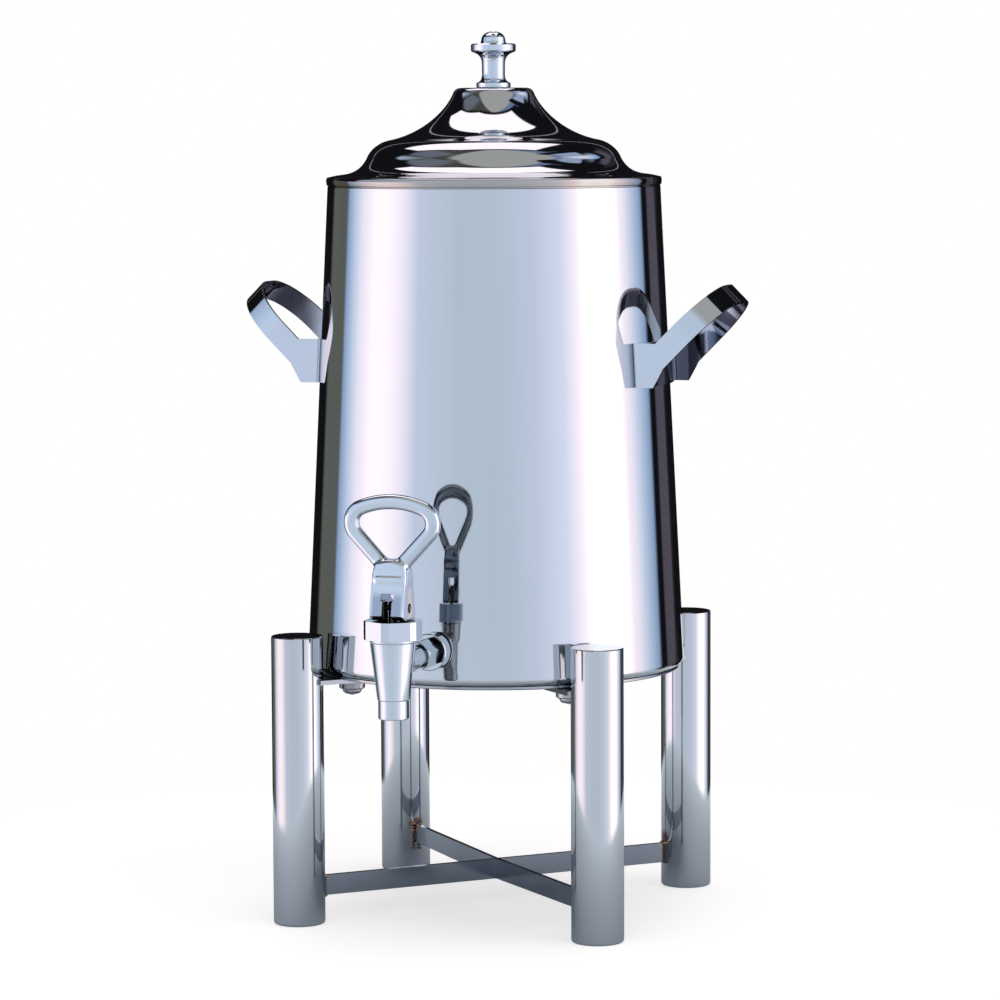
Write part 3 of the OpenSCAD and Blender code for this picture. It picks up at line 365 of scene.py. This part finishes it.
def metal(name, light, dark, smooth, rough, stretch=(1, 1, 1), spun=False, line_scale=900,
          lines=0.01, wave_scale=9, waves=0.0, depth=0.0004, paint_over=None):
    """A metal whose polishing lines run along the shortest stretch, or round the urn's axis."""
    material = bpy.data.materials.new(name)
    material.use_nodes = True
    tree = material.node_tree
    shader = tree.nodes["Principled BSDF"]
    shader.inputs["Metallic"].default_value = 1
    place = own_place(tree)
    pattern = place
    if spun:
        x, y, z = split_up(tree, place)
        radius = maths(tree, "SQRT", maths(tree, "ADD", maths(tree, "POWER", x, 2.0),
                                           maths(tree, "POWER", y, 2.0)))
        joined = add_node(tree, "ShaderNodeCombineXYZ")
        tree.links.new(radius, joined.inputs[0])
        tree.links.new(z, joined.inputs[2])
        pattern = joined.outputs[0]
    stretched = add_node(tree, "ShaderNodeMapping")
    stretched.inputs["Scale"].default_value = stretch
    tree.links.new(pattern, stretched.inputs[0])
    finish = add_node(tree, "ShaderNodeGroup", node_tree=surface)
    tree.links.new(stretched.outputs[0], finish.inputs["Vector"])
    for socket, value in (("Line Scale", line_scale), ("Lines", lines),
                          ("Wave Scale", wave_scale), ("Waves", waves),
                          ("Smooth", smooth), ("Rough", rough)):
        finish.inputs[socket].default_value = value
    tree.links.new(finish.outputs["Roughness"], shader.inputs["Roughness"])
    colour = mix(tree, finish.outputs["Tone"], light, dark)
    if paint_over:
        colour = paint_over(tree, place, colour)
    tree.links.new(colour, shader.inputs["Base Color"])
    bump = add_node(tree, "ShaderNodeBump")
    bump.inputs["Strength"].default_value = 1
    bump.inputs["Distance"].default_value = depth
    tree.links.new(finish.outputs["Height"], bump.inputs["Height"])
    tree.links.new(bump.outputs[0], shader.inputs["Normal"])
    return material


def dress(material, *names):
    """Gives a material to nodes that keep their own mesh."""
    for name in names:
        for slot in nodes[name].material_slots:
            slot.material = material


STEEL = (0.62, 0.64, 0.67)
STEEL_WORN = (0.59, 0.61, 0.64)
TURNED_LINES = 1400
polished = metal("polished_sheet", STEEL, STEEL_WORN, 0.03, 0.06,
                 stretch=(1, 1, 0.05), lines=0.008, waves=0.3)
satin = metal("satin_sheet", (0.46, 0.47, 0.50), (0.40, 0.41, 0.44), 0.16, 0.26,
              stretch=(1, 1, 0.1), lines=0.02)
turned_rim = metal("turned_rim", (0.46, 0.43, 0.41), (0.42, 0.39, 0.37), 0.05, 0.10,
                   spun=True, line_scale=TURNED_LINES)
dress(polished, "outer_shell")
dress(satin, "inner_liner", "base_plate")
dress(turned_rim, "mouth_ring")

# Yellowish foam, cut with a knife, so that its cells lie open
FOAM_DARK, FOAM_LIGHT = (0.80, 0.72, 0.48), (0.93, 0.88, 0.66)
foam = bpy.data.materials.new("insulating_foam")
foam.use_nodes = True
tree = foam.node_tree
shader = tree.nodes["Principled BSDF"]
cells = add_node(tree, "ShaderNodeTexVoronoi")
cells.inputs["Scale"].default_value = 700
tree.links.new(own_place(tree), cells.inputs["Vector"])
cell_depth = cells.outputs["Distance"]
# Painted shade: the open cells are darker towards their middles, where they are deepest
tree.links.new(ramp(tree, cell_depth, ((0.0, FOAM_DARK), (0.8, FOAM_LIGHT))),
               shader.inputs["Base Color"])
tree.links.new(soft_step(tree, cell_depth, 0.0, 0.8, 0.95, 0.8), shader.inputs["Roughness"])
pits = add_node(tree, "ShaderNodeBump")
pits.inputs["Distance"].default_value = 0.0006
tree.links.new(cell_depth, pits.inputs["Height"])
tree.links.new(pits.outputs[0], shader.inputs["Normal"])
dress(foam, "insulation_jacket", "insulation_pad", "lid_insulation")


# ---------- Handles ----------
# Flat polished strap, cut with a flared foot, bent to a loop and spot welded to the wall at
# both feet. Its edges are broken by the polishing wheel.


def copy_of(node):
    """A node's mesh with its loose triangles joined up and its flats in one face."""
    made = bmesh.new()
    made.from_mesh(nodes[node].data)
    bmesh.ops.remove_doubles(made, verts=made.verts[:], dist=2e-6)
    bmesh.ops.dissolve_limit(made, angle_limit=math.radians(0.4), verts=made.verts[:],
                             edges=made.edges[:])
    return made


def piece(name, mesh, material, body, stands_for=None):
    """Makes a mesh into a piece of the urn that moves with a body."""
    data = bpy.data.meshes.new(name)
    mesh.to_mesh(data)
    mesh.free()
    data.materials.append(material)
    data.polygons.foreach_set("use_smooth", [True] * len(data.polygons))
    made = bpy.data.objects.new(name, data)
    bpy.context.scene.collection.objects.link(made)
    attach(made, body)
    if stands_for:
        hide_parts(stands_for)
    return made


def break_edges(made, width, segments=2, angle=35):
    """Rounds the sharp edges of a piece and keeps its flats flat."""
    edges = made.modifiers.new("edges", "BEVEL")
    edges.width = width
    edges.segments = segments
    edges.limit_method = "ANGLE"
    edges.angle_limit = math.radians(angle)
    edges.use_clamp_overlap = True
    flats = made.modifiers.new("flats", "WEIGHTED_NORMAL")
    flats.weight = 60


def painted_strap_shade(light_end, dark_end, shade_rear_foot):
    """Painted shade that leaves a strap dark in its bend and, if asked, at its rear foot."""
    def paint_over(tree, place, colour):
        x, y, z = split_up(tree, place)
        out_from_middle = maths(tree, "ABSOLUTE", x)
        shade = soft_step(tree, out_from_middle, dark_end, light_end)
        if shade_rear_foot:
            rear = maths(tree, "GREATER_THAN", y, 0.0)
            foot = maths(tree, "MULTIPLY", rear, soft_step(tree, out_from_middle, *REAR_FOOT_SHADE_FADE))
            shade = maths(tree, "SUBTRACT", shade, foot, clamp=True)
        return mix(tree, shade, BEND_SHADE, colour)
    return paint_over


# Painted shade: the faces inside each loop get a darker copy of the strap's metal, darker still
# in the bend and at the right strap's rear foot
REAR_FOOT_SHADE_FADE = (0.137, 0.132)
BEND_SHADE = (0.12, 0.115, 0.15)
LOOP_MIDDLE = 0.135
FACES_INWARD = 0.4
EDGE_BREAK = 0.00035
STRAP_LINES = {"stretch": (0.1, 1, 1), "line_scale": 700, "lines": 0.003}
INSIDE_SHADE = ((0.50, 0.52, 0.58), (0.46, 0.48, 0.54), 0.05, 0.10)
strap = metal("polished_strap", (0.61, 0.65, 0.71), (0.58, 0.62, 0.68), 0.03, 0.06, **STRAP_LINES)
inside_left = metal("strap_inside_shade_left", *INSIDE_SHADE, **STRAP_LINES,
                    paint_over=painted_strap_shade(0.138, 0.156, False))
inside_right = metal("strap_inside_shade_right", *INSIDE_SHADE, **STRAP_LINES,
                     paint_over=painted_strap_shade(0.152, 0.166, True))
for hand, way, inside in (("left", -1, inside_left), ("right", 1, inside_right)):
    blank = copy_of(hand + "_handle")
    blank.normal_update()
    for face in blank.faces:
        centre = face.calc_center_median()
        inward = Vector((way * LOOP_MIDDLE, 0, centre.z)) - centre
        if inward.normalized().dot(face.normal) > FACES_INWARD:
            face.material_index = 1
    grip = piece(hand + "_strap", blank, strap, "urn", hand + "_handle")
    grip.data.materials.append(inside)
    break_edges(grip, EDGE_BREAK)


# ---------- Stand ----------
# Four lengths of polished tube with pressed end caps, joined by ears under the foot and by a
# low cross of flat bar. The welds are left as they cooled, with their heat colours.

WELD_TOP = (0.0938, 0.0938, 0.0345)
heat = bpy.data.node_groups.new("weld_heat", "ShaderNodeTree")
for name, kind, way in (
    ("Vector", "NodeSocketVector", "INPUT"), ("Metal", "NodeSocketColor", "INPUT"),
    ("Reach", "NodeSocketFloat", "INPUT"), ("Colour", "NodeSocketColor", "OUTPUT"),
):
    heat.interface.new_socket(name=name, in_out=way, socket_type=kind)
given = add_node(heat, "NodeGroupInput")
# The four joints fold onto one, and the heat spreads from the top of its weld
folded = add_node(heat, "ShaderNodeVectorMath", operation="ABSOLUTE")
heat.links.new(given.outputs["Vector"], folded.inputs[0])
blotches = add_node(heat, "ShaderNodeTexNoise")
blotches.inputs["Scale"].default_value = 160
heat.links.new(given.outputs["Vector"], blotches.inputs["Vector"])
away = add_node(heat, "ShaderNodeVectorMath", operation="DISTANCE")
heat.links.new(folded.outputs[0], away.inputs[0])
away.inputs[1].default_value = WELD_TOP
near = maths(heat, "DIVIDE", away.outputs["Value"], given.outputs["Reach"])
near = maths(heat, "ADD", near, maths(heat, "MULTIPLY_ADD", blotches.outputs[0], 0.5, -0.25))
tint = ramp(heat, near, (
    (0.30, (0.16, 0.16, 0.20)), (0.46, (0.22, 0.19, 0.26)), (0.58, (0.36, 0.18, 0.12)),
    (0.72, (0.55, 0.36, 0.20)), (0.86, (0.60, 0.52, 0.42)),
))
given_back = add_node(heat, "NodeGroupOutput")
heat.links.new(mix(heat, soft_step(heat, near, 0.80, 1.0), tint, given.outputs["Metal"]),
               given_back.inputs["Colour"])


def with_heat(reach):
    """Paint that colours a metal by the heat of its weld, as far as it reaches."""
    def paint_over(tree, place, colour):
        used = add_node(tree, "ShaderNodeGroup", node_tree=heat)
        tree.links.new(place, used.inputs["Vector"])
        tree.links.new(colour, used.inputs["Metal"])
        used.inputs["Reach"].default_value = reach
        return used.outputs["Colour"]
    return paint_over


tube = metal("polished_tube", STEEL, STEEL_WORN, 0.035, 0.07, stretch=(1, 1, 0.05),
             lines=0.004, waves=0.15, paint_over=with_heat(0.0065))
flat_bar = metal("drawn_bar", (0.42, 0.45, 0.50), (0.36, 0.39, 0.44), 0.12, 0.20,
                 stretch=(1, 1, 0.2), line_scale=500, paint_over=with_heat(0.008))
plain = metal("plain_steel", (0.46, 0.46, 0.48), (0.33, 0.33, 0.34), 0.15, 0.30)
dress(tube, *[name for name in nodes if name.startswith("leg_")])
dress(flat_bar, *[name for name in nodes if name.startswith(("ear_", "brace_"))])
dress(plain, "stand_studs", "stand_washers", "stand_cap_nuts")

# Runs of weld: short overlapping drops up both sides of each joint of bar and tube
BAR_LOW, BAR_HIGH = 0.0175, 0.0313
BAR_HALF = 0.0011
LEG_MIDDLE = 0.105640
LEG_R = 0.0175
DROPS = 9
DROP_R, DROP_FLAT = 0.0018, 0.55
DROP_SUNK, DROP_OUT = 0.0004, 0.0012
weld_metal = metal("weld_bead", (0.20, 0.17, 0.16), (0.07, 0.06, 0.06), 0.12, 0.26,
                   line_scale=400, lines=0.2, paint_over=with_heat(0.006))


def run_of_weld(mesh, start, end):
    for i in range(DROPS):
        middle = start.lerp(end, i / (DROPS - 1))
        shape = bmesh.ops.create_uvsphere(mesh, u_segments=12, v_segments=7, radius=DROP_R)
        bmesh.ops.scale(mesh, verts=shape["verts"], vec=(1, 1, DROP_FLAT))
        bmesh.ops.translate(mesh, verts=shape["verts"], vec=middle)


joint_r = math.hypot(LEG_MIDDLE, LEG_MIDDLE) - LEG_R
for corner, (x, y) in {"front_left": (-1, -1), "front_right": (1, -1),
                       "back_left": (-1, 1), "back_right": (1, 1)}.items():
    outward = Vector((x, y, 0)).normalized()
    across_bar = Vector((-outward.y, outward.x, 0))
    beads = bmesh.new()
    high_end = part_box("brace_bar_back")[1].z if corner == "back_left" else BAR_HIGH
    for flank in (-1, 1):
        foot = outward * (joint_r - DROP_SUNK) + across_bar * (BAR_HALF + DROP_OUT) * flank
        run_of_weld(beads, foot + Vector((0, 0, BAR_LOW)), foot + Vector((0, 0, high_end)))
    piece("weld_" + corner, beads, weld_metal, "urn")


# ---------- Faucet ----------
# Chromed brass castings: a tapered body, a hexagonal bonnet and coupling nut, and an open
# loop handle whose cam lifts the stem. The shank goes through both walls of the tank.

IN_METAL, IN_METAL_DARK = 0.7, (0.02, 0.03, 0.03)


def darker_in_metal(tree, place, colour):
    """Paint that is duller in the reflections of other metal, where chrome sees only chrome."""
    reflected = add_node(tree, "ShaderNodeLightPath").outputs["Is Glossy Ray"]
    return mix(tree, maths(tree, "MULTIPLY", reflected, IN_METAL), colour, IN_METAL_DARK)


CHROME = ((0.64, 0.69, 0.75), (0.61, 0.66, 0.72), 0.03, 0.07)
PIN_EDGE = (0.2, 0.13, 0.1)
chrome = metal("bright_chrome", *CHROME, waves=0.1, paint_over=darker_in_metal)
# Painted shade: the brass is dark brown all over, as the stem looks in the shade of the yoke's
# slot
brass = metal("turned_brass", (0.20, 0.13, 0.07), (0.09, 0.06, 0.035), 0.22, 0.38,
              stretch=(0.1, 0.1, 1))
# Painted shade: the pin and the tint of its edge are dark brown, as it looks sunk in its hole
pin_in_shade = metal("pin_in_shade", (0.10, 0.07, 0.06), (0.05, 0.035, 0.03), 0.20, 0.35)
pin_shader = pin_in_shade.node_tree.nodes["Principled BSDF"]
pin_shader.inputs["Specular Tint"].default_value = (*PIN_EDGE, 1)
dress(chrome, "shank", "faucet_body")
dress(brass, "shank_spacer", "shank_lock_nut", "valve_stem", "stem_collar")
dress(pin_in_shade, "handle_pin")
dress(plain, "valve_spring")
# The bonnet is screwed tight a little past square to the tail; its corners are cut wide
VALVE_REACH = 0.206
BONNET_TURN = 4
CORNER_R = 0.0187
NUT_EDGE = 0.0006
axis = Vector((0, -VALVE_REACH, 0))
bonnet = copy_of("bonnet")
for corner in range(30, 390, 60):
    outward = Vector((math.cos(math.radians(corner)), math.sin(math.radians(corner)), 0))
    cut = bmesh.ops.bisect_plane(
        bonnet, geom=bonnet.verts[:] + bonnet.edges[:] + bonnet.faces[:], dist=1e-6,
        plane_co=axis + outward * CORNER_R, plane_no=outward, clear_outer=True)
    rim = [item for item in cut["geom_cut"] if isinstance(item, bmesh.types.BMEdge)]
    bmesh.ops.contextual_create(bonnet, geom=rim)
bmesh.ops.rotate(bonnet, verts=bonnet.verts[:], cent=axis,
                 matrix=Matrix.Rotation(math.radians(BONNET_TURN), 3, "Z"))
for name, nut in (("bonnet", bonnet), ("coupling_nut", copy_of("coupling_nut"))):
    hexagon = piece(name + "_hexagon", nut, chrome, "urn", name)
    break_edges(hexagon, NUT_EDGE, segments=3, angle=25)

# The loop handle: cast, so that every edge and corner is round
CAST_GRID = 0.00038
CAST_PASSES = 8
LOOP_PASSES = 90
FETTLING = 0.0003
YOKE_TOP, NECK_TOP = 0.243, 0.256
rough_cast = bpy.data.objects.new("rough_cast", bpy.data.meshes.new("rough_cast"))
bpy.context.scene.collection.objects.link(rough_cast)
mould = copy_of("faucet_handle")
# A wedge of metal rounds off the steps between the yoke's collar and the fork. Each ring is
# half a width, half a depth and a height.
NECK = ((0.0116, 0.0080, 0.2450), (0.0118, 0.0078, 0.2504), (0.0114, 0.0071, 0.2552),
        (0.0096, 0.0065, 0.2590), (0.0030, 0.0058, 0.2612))
rings = [[mould.verts.new((x * right, y * rear - VALVE_REACH, z))
          for right, rear in ((-1, -1), (1, -1), (1, 1), (-1, 1))] for x, y, z in NECK]
for low, top in zip(rings, rings[1:]):
    for i in range(4):
        mould.faces.new((low[i], low[(i + 1) % 4], top[(i + 1) % 4], top[i]))
mould.faces.new(rings[0][::-1])
mould.faces.new(rings[-1])
mould.to_mesh(rough_cast.data)
mould.free()
skin = rough_cast.modifiers.new("skin", "REMESH")
skin.mode = "VOXEL"
skin.voxel_size = CAST_GRID
even = rough_cast.modifiers.new("even", "SMOOTH")
even.factor = 0.5
even.iterations = CAST_PASSES
bpy.context.view_layer.update()
poured = rough_cast.evaluated_get(bpy.context.evaluated_depsgraph_get())
casting = bmesh.new()
casting.from_mesh(poured.to_mesh())
poured.to_mesh_clear()
bpy.data.objects.remove(rough_cast)
# The loop is left a little full, because the wheel then takes its edges down
casting.normal_update()
for point in casting.verts:
    if point.co.z > NECK_TOP:
        point.co += point.normal * FETTLING
for step in range(LOOP_PASSES):
    edge = YOKE_TOP + (NECK_TOP - YOKE_TOP) * step / LOOP_PASSES
    loose = [v for v in casting.verts if v.co.z > edge]
    bmesh.ops.smooth_vert(casting, verts=loose, factor=0.5, use_axis_x=True, use_axis_y=True,
                          use_axis_z=True)

# Where the yoke's front is duller, where its cheek gets a painted peach reflection, and the
# painted shade round the pin's hole
DULL_HEIGHT, DULL_WIDTH = (0.2425, 0.2365), (0.0108, 0.0088)
PEACH_REFLECTION_HEIGHT, PEACH_REFLECTION_WIDTH = (0.2440, 0.2410), (0.0040, 0.0028)
CHEEK = (0.0094, 0.0100)
PIN_HEIGHT = 0.2299
PIN_HOLE = (0.0034, 0.0029)
DULL_CHROME = (0.37, 0.43, 0.51)
PEACH_REFLECTION = (1.0, 0.78, 0.64)
PIN_HOLE_SHADE = (0.10, 0.06, 0.04)


def yoke_dull_band_and_painted_light(tree, place, colour):
    """Paint that dulls the chrome near the slot, with a painted peach reflection on the cheek and
    painted shade round the pin's hole.
    """
    x, y, z = split_up(tree, place)
    out_from_middle = maths(tree, "ABSOLUTE", x)
    off_axis = maths(tree, "ABSOLUTE", maths(tree, "ADD", y, VALVE_REACH))
    dull = maths(tree, "MULTIPLY", soft_step(tree, z, *DULL_HEIGHT),
                 soft_step(tree, out_from_middle, *DULL_WIDTH))
    colour = mix(tree, dull, colour, DULL_CHROME)
    # Painted reflection on the cheek beside the slot, and painted shade at the pin's hole
    cheek = soft_step(tree, out_from_middle, *CHEEK)
    peach_reflection = maths(tree, "MULTIPLY", cheek, soft_step(tree, off_axis, *PEACH_REFLECTION_WIDTH))
    peach_reflection = maths(tree, "MULTIPLY", peach_reflection, soft_step(tree, z, *PEACH_REFLECTION_HEIGHT))
    colour = mix(tree, peach_reflection, colour, PEACH_REFLECTION)
    from_pin = maths(tree, "ABSOLUTE", maths(tree, "SUBTRACT", z, PIN_HEIGHT))
    from_pin = maths(tree, "SQRT", maths(tree, "ADD", maths(tree, "POWER", off_axis, 2.0),
                                         maths(tree, "POWER", from_pin, 2.0)))
    hole = maths(tree, "MULTIPLY", cheek, soft_step(tree, from_pin, *PIN_HOLE))
    return darker_in_metal(tree, place, mix(tree, hole, colour, PIN_HOLE_SHADE))


cast_chrome = metal("cast_chrome", *CHROME, waves=0.1, paint_over=yoke_dull_band_and_painted_light)
piece("loop_handle", casting, cast_chrome, "handle", "faucet_handle")

# Black gaskets on the shank, and white food-safe rubber at the seat and under the lid
rubber = bpy.data.materials.new("black_rubber")
silicone = bpy.data.materials.new("white_silicone")
for material, dull, light, smooth, rough in (
    (rubber, (0.012, 0.012, 0.013), (0.030, 0.030, 0.032), 0.55, 0.80),
    (silicone, (0.70, 0.70, 0.66), (0.80, 0.80, 0.76), 0.40, 0.60),
):
    material.use_nodes = True
    tree = material.node_tree
    shader = tree.nodes["Principled BSDF"]
    bloom = add_node(tree, "ShaderNodeTexNoise")
    bloom.inputs["Scale"].default_value = 260
    bloom.inputs["Detail"].default_value = 6
    tree.links.new(own_place(tree), bloom.inputs["Vector"])
    bloom = bloom.outputs[0]
    tree.links.new(ramp(tree, bloom, ((0.35, dull), (0.65, light))), shader.inputs["Base Color"])
    tree.links.new(soft_step(tree, bloom, 0.3, 0.7, smooth, rough), shader.inputs["Roughness"])
    skin_bump = add_node(tree, "ShaderNodeBump")
    skin_bump.inputs["Distance"].default_value = 0.0001
    tree.links.new(bloom, skin_bump.inputs["Height"])
    tree.links.new(skin_bump.outputs[0], shader.inputs["Normal"])
dress(rubber, "shank_outer_gasket", "shank_inner_gasket")
dress(silicone, "seat_cup", "lid_gasket")


# ---------- Lid ----------
# A bell spun from one steel sheet and polished on the lathe: flat crown, long flare, round
# shoulder and a rolled rim. The pan that closes it below is pressed from satin sheet.

LID_TOP = 0.5625
CROWN_R, CROWN_ROUND = 0.0225, 0.0055
SCREW_HOLE_R = 0.0033
SHEET = 0.0009
RIM_TOP, RIM_FADE = 0.5016, 0.0004
RIM_GREY = (0.44, 0.41, 0.395)
BELL_STEPS = 240


def bend(points, steps):
    """Points of a cubic curve after its first, as (radius, height)."""
    curve = interpolate_bezier(*[Vector((r, z, 0)) for r, z in points], steps + 1)
    return [(point.x, point.y) for point in curve[1:]]


def turn(radius, height, wide, tall, start, end, steps):
    """Points on an upright ellipse round (radius, height), from one angle to another."""
    angles = [math.radians(start + (end - start) * i / steps) for i in range(steps + 1)]
    return [(radius + wide * math.cos(a), height + tall * math.sin(a)) for a in angles]


# Crown, flare, shoulder, lower flare, brim, and the rim rolled down and under
lid_line = [(SCREW_HOLE_R, LID_TOP)]
lid_line += turn(CROWN_R, LID_TOP - CROWN_ROUND, CROWN_ROUND, CROWN_ROUND, 90, 20, 8)
lid_line += bend((lid_line[-1], (0.0312, 0.5495), (0.0465, 0.5320), (0.0715, 0.5272)), 26)
lid_line += bend((lid_line[-1], (0.0770, 0.5261), (0.0845, 0.5217), (0.0869, 0.5146)), 18)
lid_line += bend((lid_line[-1], (0.0889, 0.5116), (0.0920, 0.5052), (0.1035, 0.5040)), 20)
lid_line += bend((lid_line[-1], (0.1070, 0.5036), (0.1100, 0.5031), (0.1126, 0.5023)), 6)
lid_line += turn(0.1130, 0.5008, 0.0013, 0.0015, 70, 8, 6)
lid_line += bend((lid_line[-1], (0.1146, 0.5000), (0.1145, 0.4984), (0.1142, 0.4975)), 5)
lid_line += turn(0.1132, 0.4974, 0.0010, 0.0008, -10, -90, 4)


def dull_rim(tree, place, colour):
    """Paint that makes the upright edge of the rim greyer than the bell."""
    x, y, z = split_up(tree, place)
    on_edge = soft_step(tree, z, RIM_TOP + RIM_FADE, RIM_TOP - RIM_FADE)
    return mix(tree, on_edge, colour, RIM_GREY)


turned_sheet = metal("turned_sheet", STEEL, STEEL_WORN, 0.03, 0.07, spun=True,
                     line_scale=TURNED_LINES, paint_over=dull_rim)
turned_chrome = metal("turned_chrome", (0.62, 0.67, 0.74), (0.58, 0.63, 0.70), 0.03, 0.07,
                      spun=True, line_scale=TURNED_LINES)
bell = bmesh.new()
corners = [bell.verts.new((radius, 0, height)) for radius, height in lid_line]
for first, second in zip(corners, corners[1:]):
    bell.edges.new((first, second))
bmesh.ops.spin(bell, geom=bell.verts[:] + bell.edges[:], cent=(0, 0, 0), axis=(0, 0, 1),
               angle=math.tau, steps=BELL_STEPS, use_merge=True)
bmesh.ops.remove_doubles(bell, verts=bell.verts[:], dist=1e-6)
bmesh.ops.recalc_face_normals(bell, faces=bell.faces[:])
bmesh.ops.solidify(bell, geom=bell.faces[:], thickness=SHEET)
piece("lid_bell", bell, turned_sheet, "lid", "lid_shell")
dress(satin, "lid_pan")
dress(turned_chrome, "knob")
dress(plain, "knob_screw", "knob_washer")
